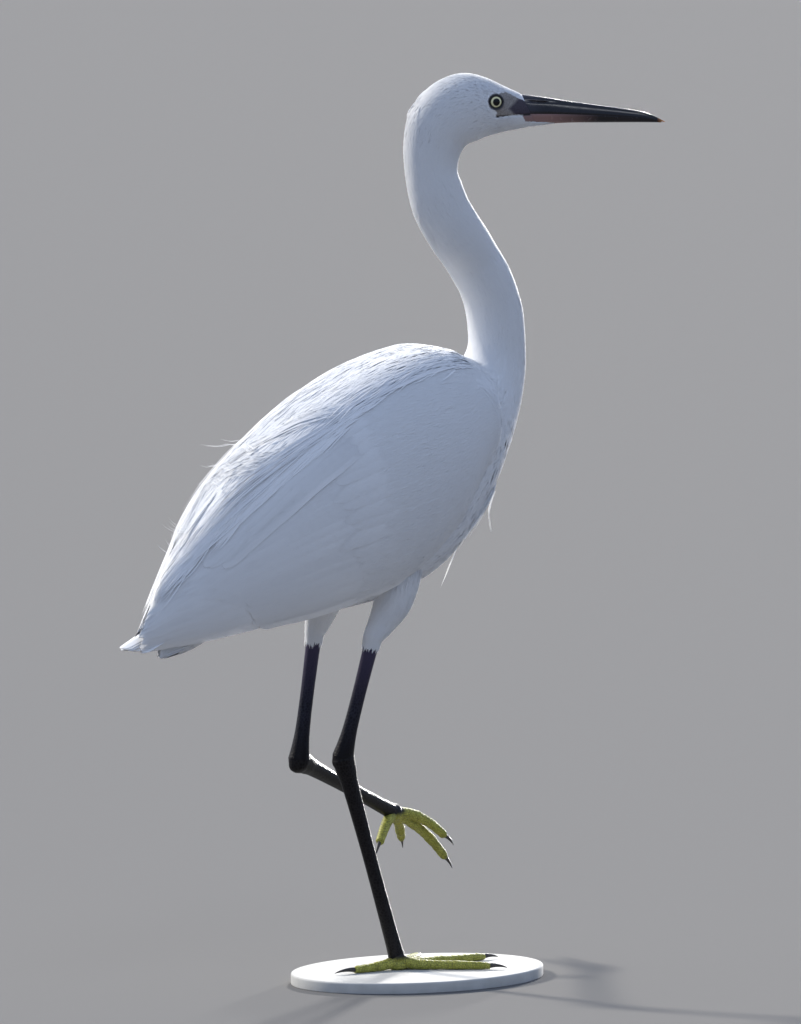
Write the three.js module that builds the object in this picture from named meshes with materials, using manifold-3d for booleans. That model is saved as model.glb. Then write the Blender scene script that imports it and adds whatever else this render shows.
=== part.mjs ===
// A little egret at life size, standing on its right foot with the left one raised, on a low
// flat base that keeps it from falling over. Millimetres, +Z up. The bird heads along +X with
// its left side towards +Y, and the head is turned to its right. The origin is on the floor
// under the pad of the standing foot. Every size of the bird is given over the base's top.
import * as THREE from "three";
import { mergeVertices } from "three/addons/utils/BufferGeometryUtils.js";
import Module from "manifold-3d";

const wasm = await Module();
wasm.setup();

// Driving dimensions
const gap = 0.3; // between nodes that touch
const cutRoom = 0.4; // how far a neighbour's cutting copy is grown
const neckAxisX = 24; // the upright line about which the head is turned
const headTurn = THREE.MathUtils.degToRad(40);
const eyeHeight = 471;
const eyeReach = 34.5; // from the neck axis forward to the eyes
const eyeRadius = 5;
const eyeBulge = 1.5; // how far the eye stands out of the cheek
const cheekHalfWidth = 10.9; // of the head at the eyes
const eyeForward = THREE.MathUtils.degToRad(13); // the eyes face this much forward
const lidRing = 4;
const lidThickness = 0.7;
const kneeRadius = 6.1;
const ankleRadius = 4.6;
const shankRadius = 3.7;
const tarsusRadius = 3.6;
const toeRadius = 2.4;
const clawClearance = 0.1; // from the level the foot stands on up to a claw
const standHeight = 6;
const standHalfLength = 76;
const standHalfWidth = 56;
const standCentre = new THREE.Vector2(12, -2);
const standChamfer = 1;
const standingKnee = new THREE.Vector3(-38.8, 0, 118.4);
const standingAnkle = new THREE.Vector3(-1, 0, 7);
const raisedKnee = new THREE.Vector3(-49.7, 24, 115.6);
const raisedAnkle = new THREE.Vector3(54.5, 69, 75);

const white = new THREE.Color(0.9, 0.91, 0.93);
const horn = new THREE.Color(0.03, 0.028, 0.035);
const legSkin = new THREE.Color(0.035, 0.033, 0.038);
const footSkin = new THREE.Color(0.42, 0.46, 0.09);
const iris = new THREE.Color(0.85, 0.8, 0.45);
const paint = new THREE.Color(0.55, 0.54, 0.51);

// Numbers that repeat in the same order for the same seed, between -1 and 1.
function seeded(seed) {
  let state = seed;
  return () => {
    state = (state * 16807) % 2147483647;
    return (state / 2147483647) * 2 - 1;
  };
}

// The row at place u between the rows of a table, on a smooth curve through them.
function between(rows, u) {
  const last = rows.length - 1;
  const clamped = Math.min(Math.max(u, 0), last);
  const i = Math.min(Math.floor(clamped), last - 1);
  const t = clamped - i;
  const a = rows[Math.max(i - 1, 0)];
  const b = rows[i];
  const c = rows[i + 1];
  const d = rows[Math.min(i + 2, last)];
  return b.map((value, k) => {
    const leave = (c[k] - a[k]) / 2;
    const arrive = (d[k] - value) / 2;
    const bend = 3 * (c[k] - value) - 2 * leave - arrive;
    const turnBack = leave + arrive - 2 * (c[k] - value);
    return value + t * (leave + t * (bend + t * turnBack));
  });
}

// A table whose first column falls steadily, read at a value of that column.
function readAt(rows, x) {
  let i = 0;
  while (i < rows.length - 2 && x < rows[i + 1][0]) i++;
  const t = (rows[i][0] - x) / (rows[i][0] - rows[i + 1][0]);
  return between(rows, i + Math.min(Math.max(t, 0), 1));
}

// A solid from points and triangles, turned so that its faces point outwards.
function solidFrom(points, faces) {
  let volume = 0;
  const crossed = new THREE.Vector3();
  for (const [a, b, c] of faces) {
    volume += points[a].dot(crossed.crossVectors(points[b], points[c]));
  }
  const vertProperties = new Float32Array(points.flatMap((p) => [p.x, p.y, p.z]));
  const order = volume < 0 ? ([a, b, c]) => [a, c, b] : (face) => face;
  const triVerts = new Uint32Array(faces.flatMap(order));
  return new wasm.Manifold(new wasm.Mesh({ numProp: 3, vertProperties, triVerts }));
}

// A closed skin through rings of points, with a fan over each end.
function loft(rings) {
  const sides = rings[0].length;
  const points = rings.flat();
  const faces = [];
  const lastRing = (rings.length - 1) * sides;
  for (let start = 0; start < lastRing; start += sides) {
    for (let j = 0; j < sides; j++) {
      const a = start + j;
      const b = start + ((j + 1) % sides);
      faces.push([a, b, b + sides], [a, b + sides, a + sides]);
    }
  }
  const middle = (ring) => ring.reduce((sum, p) => sum.add(p), new THREE.Vector3()).divideScalar(sides);
  const first = points.push(middle(rings[0])) - 1;
  const final = points.push(middle(rings.at(-1))) - 1;
  for (let j = 0; j < sides; j++) {
    const next = (j + 1) % sides;
    faces.push([first, next, j], [final, lastRing + j, lastRing + next]);
  }
  return solidFrom(points, faces);
}

// A thin vane through stations of four points, top left and right, then bottom right and left.
// Both faces are split along the same diagonals.
function vane(stations) {
  const points = stations.flat();
  const faces = [[0, 1, 2], [0, 2, 3]];
  const end = (stations.length - 1) * 4;
  for (let a = 0; a < end; a += 4) {
    const b = a + 4;
    faces.push([a, b + 1, a + 1], [a, b, b + 1]);
    faces.push([a + 3, a + 2, b + 2], [a + 3, b + 2, b + 3]);
    faces.push([a + 1, b + 1, b + 2], [a + 1, b + 2, a + 2]);
    faces.push([a, a + 3, b + 3], [a, b + 3, b]);
  }
  faces.push([end, end + 2, end + 1], [end, end + 3, end + 2]);
  return solidFrom(points, faces);
}

function solidOf(geometry) {
  geometry.deleteAttribute("normal");
  geometry.deleteAttribute("uv");
  const merged = mergeVertices(geometry, 1e-4);
  return new wasm.Manifold(new wasm.Mesh({
    numProp: 3,
    vertProperties: merged.attributes.position.array,
    triVerts: new Uint32Array(merged.index.array),
  }));
}

function ball(centre, radius, detail = 16) {
  const sphere = new THREE.SphereGeometry(radius, detail, Math.round(detail * 0.6));
  return solidOf(sphere.translate(centre.x, centre.y, centre.z));
}

const joined = (solids) => solids.reduce((all, solid) => all.add(solid));
const without = (solid, others) => others.reduce((rest, other) => rest.subtract(other), solid);

function largest(solid) {
  return solid.decompose().sort((a, b) => b.volume() - a.volume())[0];
}

// A point forward of the neck axis, to a side and at a height, with the head's turn.
function turned(reach, side, height, turn) {
  const sin = Math.sin(turn);
  const cos = Math.cos(turn);
  return new THREE.Vector3(neckAxisX + reach * cos + side * sin, side * cos - reach * sin, height);
}

const onHead = (ahead, side, up) => turned(eyeReach + ahead, side, eyeHeight + up, headTurn);

// The flesh from rump to face, one row a section: the X and Z of its back point, the X and Z
// of its underside, the half width, the squareness and the share of the head's turn.
const trunkRows = [
  [-119, 248, -127, 200, 14, 2.2, 0],
  [-100, 274, -108, 197, 23, 2.4, 0],
  [-76, 296, -84, 197, 31.5, 2.5, 0],
  [-46, 317, -52, 199, 37.5, 2.5, 0],
  [-15, 331, -15, 205, 41, 2.5, 0],
  [15, 337, 17, 218, 40, 2.4, 0],
  [35, 338, 44.5, 246, 35, 2.3, 0],
  [45.5, 337, 63, 271, 27.5, 2.2, 0],
  [50.5, 336, 78.5, 297, 20.5, 2.1, 0],
  [53, 340, 86, 322, 16, 2, 0],
];
// The neck, one row a section: its centre's X and Z, its half depth and half width.
const neckRows = [
  [69.2, 348, 16.2, 14.6],
  [66.3, 360, 15.8, 14.3],
  [60.5, 372.5, 15.5, 14.2],
  [51, 385.5, 15.5, 14],
  [39, 398, 15.8, 13.8],
  [30, 411, 15.5, 13.6],
  [25.2, 424, 15, 13.5],
];
// The head, measured ahead of and above the eyes: back point, underside and half width.
const headRows = [
  [-50, -34, -20.8, -38, 13.4],
  [-50, -22, -19.2, -30, 13.6],
  [-47.3, -8, -15.5, -24, 14],
  [-38.5, 5, -9.5, -21.5, 14.3],
  [-28, 12.2, -5, -19.6, 14.2],
  [-17, 14.7, 0, -18.2, 13.6],
  [-6, 12.4, 6, -16.8, 12.2],
  [4.5, 7.6, 13, -15.4, 9.8],
  [14, 3.2, 22, -13.3, 6.6],
];

function neckSection([x, z, halfDepth, halfWidth], index) {
  const before = neckRows[Math.max(index - 1, 0)];
  const after = neckRows[Math.min(index + 1, neckRows.length - 1)];
  const along = new THREE.Vector2(after[0] - before[0], after[1] - before[1]).normalize();
  const depthX = -along.y * halfDepth;
  const depthZ = along.x * halfDepth;
  const turn = Math.max(0, (index - 3) / 4);
  return [x + depthX, z + depthZ, x - depthX, z - depthZ, halfWidth, 2, turn];
}

const headSection = ([backX, backZ, underX, underZ, halfWidth]) => [
  neckAxisX + eyeReach + backX, eyeHeight + backZ,
  neckAxisX + eyeReach + underX, eyeHeight + underZ, halfWidth, 2, 1,
];

const fleshRows = [...trunkRows, ...neckRows.map(neckSection), ...headRows.map(headSection)];
const neckFrom = trunkRows.length - 0.6;
const neckLowerTo = neckFrom + 2.4;
const neckMiddleTo = neckFrom + 4.9;
const headFrom = neckFrom + 7.6;
const faceAt = fleshRows.length - 1;

function fleshRing(u, sides, grow) {
  const [backX, backZ, underX, underZ, halfWidth, squareness, share] = between(fleshRows, u);
  const middleX = (backX + underX) / 2;
  const middleZ = (backZ + underZ) / 2;
  const halfDepth = Math.hypot(backX - underX, backZ - underZ) / 2;
  const scale = 1 + grow / halfDepth;
  const depthX = ((backX - underX) / 2) * scale;
  const depthZ = ((backZ - underZ) / 2) * scale;
  const round = (value) => Math.sign(value) * Math.abs(value) ** (2 / squareness);
  return Array.from({ length: sides }, (_, k) => {
    const angle = (2 * Math.PI * k) / sides;
    const depth = round(Math.cos(angle));
    const side = round(Math.sin(angle)) * (halfWidth + grow);
    const reach = middleX + depthX * depth - neckAxisX;
    return turned(reach, side, middleZ + depthZ * depth, headTurn * share);
  });
}

// The flesh between two places of its table, with one ring for each step.
function flesh(from, to, steps, sides, grow = 0) {
  const rings = [];
  for (let i = 0; i <= steps; i++) {
    rings.push(fleshRing(from + ((to - from) * i) / steps, sides, grow));
  }
  return loft(rings);
}

// The place in the table that lies one gap further along than u.
function pastGap(u) {
  const centre = (v) => {
    const [backX, backZ, underX, underZ] = between(fleshRows, v);
    return new THREE.Vector2((backX + underX) / 2, (backZ + underZ) / 2);
  };
  const probe = 0.05;
  return u + (probe * gap) / centre(u).distanceTo(centre(u + probe));
}

// The outline of the folded wings over the body: X, half width, height of the middle and
// half height of an oval section.
const coatRows = [
  [38, 41, 296, 40],
  [13, 47, 283, 56],
  [-22, 49, 270, 65],
  [-57, 46, 258, 63],
  [-92, 39.5, 244, 55],
  [-127, 29, 227, 42],
  [-157, 19, 210, 26],
  [-198, 7, 191, 8],
];
const valleyDepth = 2; // between the two shoulders' feathers, along the back
const valleyWidth = THREE.MathUtils.degToRad(17);

// A point on the coat: its X, the angle up from the widest line, and the height over it.
function onCoat(x, angle, over, side) {
  const [, halfWidth, middle, halfHeight] = readAt(coatRows, x);
  const fromTop = (angle - Math.PI / 2) / valleyWidth;
  const lift = over - valleyDepth * Math.exp(-fromTop * fromTop);
  const y = side * (halfWidth + lift) * Math.cos(angle);
  return new THREE.Vector3(x, y, middle + (halfHeight + lift) * Math.sin(angle));
}

// How wide a vane is along its length, as a share of its full width.
const vaneWidths = [0.5, 0.95, 1, 0.75, 0.15];
// Where along its length a vane has risen over the tier behind it, as a share of the rise.
const vaneRise = [0, 0, 0.7, 1, 1];
const shingle = 1.3; // how far one edge of a vane is raised over its neighbour
const vaneThickness = 0.6;

// One feather that lies on the coat from root to tip.
function coatVane({ rootX, tipX, rootAngle, tipAngle, halfWidth, over, side }) {
  const last = vaneWidths.length - 1;
  const stations = vaneWidths.map((share, i) => {
    const t = i / last;
    const x = rootX + (tipX - rootX) * t;
    const angle = rootAngle + (tipAngle - rootAngle) * t;
    const [, bodyHalfWidth, , bodyHalfHeight] = readAt(coatRows, x);
    const arc = Math.hypot(bodyHalfWidth * Math.sin(angle), bodyHalfHeight * Math.cos(angle));
    const spread = Math.min((halfWidth * share) / Math.max(arc, 5), 0.7);
    const [sunk, near, far] = over;
    const height = i === 0 ? sunk : near + (far - near) * vaneRise[i];
    const raised = height + (i === 0 ? 0 : shingle * share);
    return [
      onCoat(x, angle + spread, raised, side),
      onCoat(x, angle - spread, height, side),
      onCoat(x, angle - spread, height - vaneThickness, side),
      onCoat(x, angle + spread, raised - vaneThickness, side),
    ];
  });
  return vane(stations);
}

// A tier of overlapping feathers: counts and, for its lowest and highest one, where they run.
function tier({ count, rootX, tipX, rootAngle, tipAngle, halfWidth, over, side, seed }) {
  const vary = seeded(seed);
  const mix = ([low, high], t) => low + (high - low) * t;
  const radians = ([low, high], t) => THREE.MathUtils.degToRad(mix([low, high], t));
  return Array.from({ length: count }, (_, i) => {
    const t = i / (count - 1);
    return coatVane({
      rootX: mix(rootX, t) + 1.5 * vary(),
      tipX: mix(tipX, t) + 2.5 * vary(),
      rootAngle: radians(rootAngle, t),
      tipAngle: radians(tipAngle, t),
      halfWidth: mix(halfWidth, t) * (1 + 0.06 * vary()),
      over,
      side,
    });
  });
}

// The arm and its small coverts: a shell that follows the coat on one side of the body.
const armSections = [
  [47, -8.5, -16, 20],
  [41, -3.4, -32, 36],
  [30, -1.4, -42, 47],
  [4, -1.2, -51, 54],
  [-36, -1.2, -52, 56],
  [-72, -1.6, -49, 55],
  [-100, -3, -40, 49],
];
const armDepth = 11;
const armPoints = 7;

function armShell(side) {
  const rings = armSections.map(([x, over, lowAngle, highAngle]) => {
    const arc = (height) => Array.from({ length: armPoints }, (_, k) => {
      const angle = lowAngle + ((highAngle - lowAngle) * k) / (armPoints - 1);
      return onCoat(x, THREE.MathUtils.degToRad(angle), height, side);
    });
    return [...arc(over), ...arc(over - armDepth).reverse()];
  });
  return loft(rings);
}

const layered = [-3.4, 0.8, 3.8]; // height over the coat at root, near the root and at the tip
const wingTiers = [
  { count: 5, rootX: [-84, -84], tipX: [-197, -164], rootAngle: [-32, 8], tipAngle: [-14, 22],
    halfWidth: [7.5, 7.5], over: [-5.5, 0.3, 0.5] },
  { count: 7, rootX: [-34, -64], tipX: [-118, -172], rootAngle: [-46, 0], tipAngle: [-44, 16],
    halfWidth: [8.5, 8.5], over: [-3.4, 0.8, 3.2] },
  { count: 4, rootX: [-62, -66], tipX: [-144, -162], rootAngle: [18, 46], tipAngle: [25, 44],
    halfWidth: [9, 7], over: [-3.4, 0.8, 2.4] },
  { count: 7, rootX: [0, -16], tipX: [-54, -84], rootAngle: [-46, 46], tipAngle: [-46, 46],
    halfWidth: [10, 10], over: layered },
  { count: 6, rootX: [26, 18], tipX: [-16, -34], rootAngle: [-38, 43], tipAngle: [-44, 45],
    halfWidth: [9.5, 10.5], over: layered },
];

function wingFeathers(side, seed) {
  return wingTiers.flatMap((row, i) => tier({ ...row, side, seed: seed + 17 * i }));
}

// The long feathers of the back, rooted on the trunk between the wings.
const backTiers = [
  { count: 5, rootX: [-62, -62], tipX: [-146, -146], rootAngle: [68, 112], tipAngle: [68, 112],
    halfWidth: [7, 7], over: [-6, 0.8, 1.6] },
  { count: 5, rootX: [-18, -18], tipX: [-88, -88], rootAngle: [68, 112], tipAngle: [68, 112],
    halfWidth: [7.5, 7.5], over: [-6, 0.8, 3.3] },
  { count: 5, rootX: [20, 20], tipX: [-40, -40], rootAngle: [68, 112], tipAngle: [68, 112],
    halfWidth: [7.5, 7.5], over: [-6, 0.8, 3.3] },
];

const plumeWidths = [0.8, 1, 0.9, 0.6, 0.15]; // slender and pointed
const tailWidths = [0.6, 1, 1, 0.8, 0.3]; // parallel edges and a round end

// A free feather through given points, flat across the given direction.
function freeVane(points, shares, halfWidth, thickness, across) {
  const curve = new THREE.CatmullRomCurve3(points);
  const stations = shares.map((share, i) => {
    const t = i / (shares.length - 1);
    const centre = curve.getPoint(t);
    const along = curve.getTangent(t);
    const side = across.clone().addScaledVector(along, -across.dot(along)).normalize();
    const up = new THREE.Vector3().crossVectors(along, side).normalize();
    const corner = (s, u) => centre.clone()
      .addScaledVector(side, s * halfWidth * share)
      .addScaledVector(up, (u * thickness) / 2);
    return [corner(1, 1), corner(-1, 1), corner(-1, -1), corner(1, -1)];
  });
  return vane(stations);
}

const backPlumeCount = 7;
function backPlumes() {
  const vary = seeded(411);
  return Array.from({ length: backPlumeCount }, (_, i) => {
    const t = i / (backPlumeCount - 1);
    const fan = 2 * t - 1;
    const tipX = -168 - 18 * (1 - Math.abs(fan)) + 5 * vary();
    const at = (x, over, spread) => onCoat(x, Math.PI / 2 + THREE.MathUtils.degToRad(spread) * fan, over, -1);
    const route = [at(-70, -7, 20), at(-84, 5, 20), at(-120, 5.4, 23)];
    route.push(at(tipX + 24, 5.6, 30), at(tipX, 4.4, 40));
    return freeVane(route, plumeWidths, 1.9, 0.8, new THREE.Vector3(0.05 * vary(), 1, 0.1 * vary()));
  });
}

const breastPlumeCount = 6;
function breastPlumes() {
  const vary = seeded(733);
  return Array.from({ length: breastPlumeCount }, (_, i) => {
    const spread = (i / (breastPlumeCount - 1)) * 2 - 1;
    const angle = Math.PI + spread * 0.75;
    const root = pointOnFlesh(6.7 - 0.3 * Math.abs(spread), angle, -3);
    const near = pointOnFlesh(6.2, angle, 1.2);
    const middle = pointOnFlesh(5.7, angle, 1.6);
    const length = 12 + 5 * vary() + (i === 2 ? 28 : 0);
    const tip = middle.clone().add(new THREE.Vector3(-0.7 * length, 0, -0.7 * length));
    return freeVane([root, near, middle, tip], plumeWidths, 1.6, 0.8, new THREE.Vector3(0.3, 1, 0.2));
  });
}

// A point over the flesh at a place in its table and an angle round from the back point.
function pointOnFlesh(u, angle, over) {
  const sides = 360;
  const index = Math.round((angle / (2 * Math.PI)) * sides + sides) % sides;
  return fleshRing(u, sides, over)[index];
}

// The tail: a wedge of rump and coverts, with the tail feathers rooted in it. One row a
// section: the X and Z of its lowest and of its highest point, and its half width.
const tailRows = [
  [-127.4, 200, -119.4, 248, 13.6],
  [-140, 189.5, -133, 228, 12],
  [-150, 184, -145, 208, 9.5],
  [-158, 182.5, -156, 192, 6],
];
const tailFeatherCount = 7;
const tailCovertCount = 4;
const tailTip = new THREE.Vector3(-169, 0, 182);

function tail() {
  const steps = 6;
  const sides = 12;
  const rings = [];
  for (let i = 0; i <= steps; i++) {
    const [lowX, lowZ, highX, highZ, halfWidth] = between(tailRows, (i * (tailRows.length - 1)) / steps);
    rings.push(Array.from({ length: sides }, (_, k) => {
      const angle = (2 * Math.PI * k) / sides;
      const share = (1 + Math.cos(angle)) / 2;
      const x = lowX + (highX - lowX) * share;
      return new THREE.Vector3(x, halfWidth * Math.sin(angle), lowZ + (highZ - lowZ) * share);
    }));
  }
  const vary = seeded(91);
  const feathers = Array.from({ length: tailFeatherCount }, (_, i) => {
    const spread = (i / (tailFeatherCount - 1)) * 2 - 1;
    const rise = 5 * (1 - Math.abs(spread));
    const tip = tailTip.clone().add(new THREE.Vector3(3 * Math.abs(spread) + vary(), 11 * spread, rise));
    const root = new THREE.Vector3(-138, 5 * spread, 206 + rise);
    const middle = root.clone().lerp(tip, 0.5).add(new THREE.Vector3(0, 2 * spread, 1));
    const across = new THREE.Vector3(0, 1, -0.3 * Math.sign(spread));
    return freeVane([root, middle, tip], tailWidths, 5, 0.7, across);
  });
  const coverts = Array.from({ length: tailCovertCount }, (_, i) => {
    const spread = (i / (tailCovertCount - 1)) * 2 - 1;
    const root = new THREE.Vector3(-130, 6 * spread, 203);
    const middle = new THREE.Vector3(-145, 8 * spread, 184 + 2.5 * Math.abs(spread));
    const tip = new THREE.Vector3(-160 - 3 * vary(), 7.5 * spread, 179.5 + 1.5 * Math.abs(spread));
    const across = new THREE.Vector3(0, 1, 0.2 * Math.sign(spread));
    return freeVane([root, middle, tip], tailWidths, 4, 0.7, across);
  });
  return joined([loft(rings), ...feathers, ...coverts]);
}

// A round limb through points, with a radius at each, a little deeper than wide.
function limb(points, radii, sides, steps, deeper = 1.12) {
  const curve = new THREE.CatmullRomCurve3(points);
  const rings = [];
  for (let i = 0; i <= steps; i++) {
    const t = i / steps;
    const centre = curve.getPoint(t);
    const along = curve.getTangent(t).normalize();
    const side = new THREE.Vector3(0, 1, 0).addScaledVector(along, -along.y).normalize();
    const fore = new THREE.Vector3().crossVectors(side, along);
    const [radius] = between(radii.map((r) => [r]), t * (radii.length - 1));
    rings.push(Array.from({ length: sides }, (_, k) => {
      const angle = (2 * Math.PI * k) / sides;
      return centre.clone()
        .addScaledVector(fore, radius * deeper * Math.cos(angle))
        .addScaledVector(side, radius * Math.sin(angle));
    }));
  }
  return loft(rings);
}

// A toe with raised scutes on top. Points under the base's top are laid flat on it.
function toe(points, scutes, startRadius, endRadius) {
  const curve = new THREE.CatmullRomCurve3(points);
  const sides = 6;
  const rings = [];
  const stepUp = 0.3;
  for (let i = 0; i <= scutes * 2; i++) {
    const t = Math.min((Math.floor(i / 2) + (i % 2) * 0.86) / scutes, 1);
    const raised = i % 2 === 0 ? stepUp : 0;
    const centre = curve.getPoint(t);
    const along = curve.getTangent(t).normalize();
    const side = new THREE.Vector3(-along.y, along.x, 0).normalize();
    const up = new THREE.Vector3().crossVectors(along, side);
    const radius = startRadius + (endRadius - startRadius) * t;
    rings.push(Array.from({ length: sides }, (_, k) => {
      const angle = Math.PI / 2 + (2 * Math.PI * k) / sides;
      const lift = Math.sin(angle) > 0.3 ? raised : 0;
      const point = centre.clone()
        .addScaledVector(side, radius * Math.cos(angle))
        .addScaledVector(up, (radius + lift) * Math.sin(angle));
      point.z = Math.max(point.z, 0);
      return point;
    }));
  }
  return loft(rings);
}

// A curved claw from the end of a toe.
function claw(base, direction, length, radius, droop) {
  const along = direction.clone().normalize();
  const side = new THREE.Vector3(-along.y, along.x, 0).normalize();
  const up = new THREE.Vector3().crossVectors(along, side);
  const sides = 6;
  const steps = 4;
  const rings = [];
  for (let i = 0; i <= steps; i++) {
    const t = i / steps;
    const rise = droop * (0.9 * t * (1 - t) - 0.35 * t * t);
    const centre = base.clone().addScaledVector(along, length * t).addScaledVector(up, rise);
    const size = radius * (1 - t) ** 0.8 + 0.15;
    rings.push(Array.from({ length: sides }, (_, k) => {
      const angle = (2 * Math.PI * k) / sides;
      const point = centre.clone()
        .addScaledVector(side, size * 0.8 * Math.cos(angle))
        .addScaledVector(up, size * Math.sin(angle));
      point.z = Math.max(point.z, clawClearance);
      return point;
    }));
  }
  return loft(rings);
}

// Toes, one row each: name, direction in the foot's own frame and in degrees from the
// heading, length without the claw, claw length and number of scutes.
const toeRows = [
  ["outer", -40, 50, 9, 7],
  ["middle", 0, 61, 10, 8],
  ["inner", 36, 44, 9, 6],
  ["hind", 176, 29, 13, 4],
];
const padRadius = 6;

function standingFoot() {
  const bodies = [];
  const claws = {};
  for (const [name, degrees, length, clawLength, scutes] of toeRows) {
    const angle = THREE.MathUtils.degToRad(degrees);
    const heading = new THREE.Vector3(Math.cos(angle), Math.sin(angle), 0);
    const at = (distance, height) => heading.clone().multiplyScalar(distance).setZ(height);
    const low = toeRadius - 0.5;
    bodies.push(toe([at(1, 5), at(7, 3), at(14, low + 0.3), at(length * 0.6, low), at(length, low - 0.4)],
      scutes, toeRadius + 0.5, toeRadius - 0.5));
    claws[name] = claw(at(length + gap, low - 0.4), heading, clawLength, 1.5, 2.4);
  }
  const pad = new THREE.SphereGeometry(padRadius, 10, 7).scale(1, 0.85, 0.6);
  const position = pad.attributes.position;
  for (let i = 0; i < position.count; i++) {
    position.setZ(i, Math.max(position.getZ(i) + 2.6, 0));
  }
  bodies.push(solidOf(pad), ball(standingAnkle, ankleRadius, 12));
  return { foot: joined(bodies), claws, rooms: [] };
}

// The raised foot hangs relaxed: for each toe its reach, then the same sizes as above.
const raisedReach = {
  outer: new THREE.Vector3(41, 40, -25.5),
  middle: new THREE.Vector3(63, 20, -38),
  inner: new THREE.Vector3(50, 5.6, -20.6),
  hind: new THREE.Vector3(-29.4, -19, -19.7),
};

function raisedFoot() {
  const bodies = [];
  const claws = {};
  const rooms = [];
  for (const [name, , length, clawLength, scutes] of toeRows) {
    const direction = raisedReach[name].clone().normalize();
    const bow = name === "hind" ? 1.6 : 3.2;
    const at = (share, rise) => raisedAnkle.clone()
      .addScaledVector(direction, length * share).add(new THREE.Vector3(0, 0, rise));
    const points = [at(0.02, 0), at(0.35, bow), at(0.7, bow), at(1, 0)];
    bodies.push(toe(points, scutes, toeRadius + 0.3, toeRadius - 0.6));
    rooms.push(toe(points, scutes, toeRadius + 0.3 + cutRoom, toeRadius - 0.6 + cutRoom));
    const end = points[3].clone().sub(points[2]).normalize();
    claws[name] = claw(points[3].clone().addScaledVector(end, gap), end, clawLength, 1.4, 2.4);
  }
  bodies.push(ball(raisedAnkle, ankleRadius + 0.4, 12));
  return { foot: joined(bodies), claws, rooms };
}

// One leg above the foot: feathered thigh, bare shank and the long tarsus with its joint.
function leg(hip, cuff, knee, ankle, rooms) {
  const above = hip.clone().add(new THREE.Vector3(4, 0, 22));
  const down = knee.clone().sub(cuff).normalize();
  const thighRun = [above, hip, hip.clone().lerp(cuff, 0.5), cuff.clone().addScaledVector(down, -5), cuff];
  const thighAt = (grow) => limb(thighRun, [14, 10.6, 7.6, 5.4, 4.6].map((r) => r + grow), 12, 7, 1.15);
  const shankTop = cuff.clone().addScaledVector(down, 1.3 * gap);
  const shank = limb([shankTop, shankTop.clone().lerp(knee, 0.5), knee],
    [shankRadius, shankRadius - 0.3, shankRadius + 0.5], 10, 5);
  const knob = ball(knee, kneeRadius, 12);
  const knobRoom = ball(knee, kneeRadius + cutRoom, 12);
  const tarsus = limb([knee, knee.clone().lerp(ankle, 0.5), ankle],
    [tarsusRadius + 0.8, tarsusRadius - 0.2, tarsusRadius, tarsusRadius + 0.3], 10, 7);
  const ankleRoom = ball(ankle, ankleRadius + 0.4 + cutRoom, 12);
  return {
    thigh: largest(thighAt(0).subtract(trunkRoom)),
    shank: largest(shank.subtract(knobRoom)),
    tarsus: largest(without(joined([tarsus, knob]), [ankleRoom, ...rooms])),
    thighRoom: thighAt(cutRoom),
  };
}

// Short locks at the nape: for each its place in the table of the flesh, length and side.
const napeLocks = [
  [headFrom + 1.9, 16, -3],
  [headFrom + 2.5, 14, 2.5],
  [headFrom + 3.2, 15, -1],
];

function napeLock([u, length, aside]) {
  const root = pointOnFlesh(u, 0, -3);
  const near = pointOnFlesh(u, 0, 0.4);
  const back = turned(-1, 0, 0, headTurn).sub(turned(0, 0, 0, headTurn));
  const tip = near.clone().addScaledVector(back, 0.35 * length);
  tip.z -= 0.9 * length;
  const middle = near.clone().lerp(tip, 0.5).addScaledVector(back, 0.12 * length);
  const across = new THREE.Vector3(-back.y, back.x, 0);
  const points = [root, near, middle, tip].map((point) => point.addScaledVector(across, aside));
  return freeVane(points, plumeWidths, 1.7, 0.8, across);
}

// The bill, measured ahead of and above the eyes: top and bottom points and half width.
const upperBillRows = [
  [14.4, 3.2, 19.3, -6.8, 6.3],
  [25, 1.9, 27, -6.9, 5.6],
  [40, -0.5, 41, -7.2, 4.7],
  [56, -2.7, 56, -7.8, 3.8],
  [70, -4.6, 70, -8.7, 3],
  [82, -7, 82, -9.9, 1.9],
  [91.4, -11.5, 91.4, -11.8, 0.3],
];
const lowerBillRows = [
  [19.7, -7.1, 22.5, -13.2, 6],
  [27, -7.2, 28.5, -12.7, 5.4],
  [41, -7.5, 41, -12.1, 4.5],
  [56, -8.1, 56, -12, 3.6],
  [70, -9, 70, -11.9, 2.8],
  [82, -10.2, 82, -11.9, 1.7],
  [89.5, -11.7, 89.5, -12, 0.3],
];
const chinRows = [
  [8, -10.5, 10, -14.6, 5.2],
  [20, -11, 22, -13.6, 4.4],
  [33, -11.6, 33, -12, 1.6],
];

// A run of half oval sections: facing is 1 with the flat side below and -1 with it above.
function billPart(rows, steps, sides, facing, grow = 0) {
  const rings = [];
  for (let i = 0; i <= steps; i++) {
    const [topX, topZ, lowX, lowZ, halfWidth] = between(rows, (i * (rows.length - 1)) / steps);
    rings.push(Array.from({ length: sides }, (_, k) => {
      const angle = (Math.PI * k) / (sides - 1) - Math.PI / 2;
      const upright = facing * Math.cos(angle);
      const share = facing > 0 ? upright : 1 + upright;
      const x = lowX + (topX - lowX) * share;
      const z = lowZ + (topZ - lowZ) * share + grow * (2 * share - 1);
      return onHead(x, (halfWidth + grow) * Math.sin(angle), z);
    }));
  }
  return loft(rings);
}

// The slit of the mouth from the gape forward, right through the front of the face.
function mouthSlit() {
  const half = 20;
  const stations = [[-1, -8.3, 0.15], [8, -7.8, 0.5], [34, -7.1, 0.5]].map(([ahead, up, thickness]) => [
    onHead(ahead, half, up + thickness / 2),
    onHead(ahead, -half, up + thickness / 2),
    onHead(ahead, -half, up - thickness / 2),
    onHead(ahead, half, up - thickness / 2),
  ]);
  return vane(stations);
}

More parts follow.
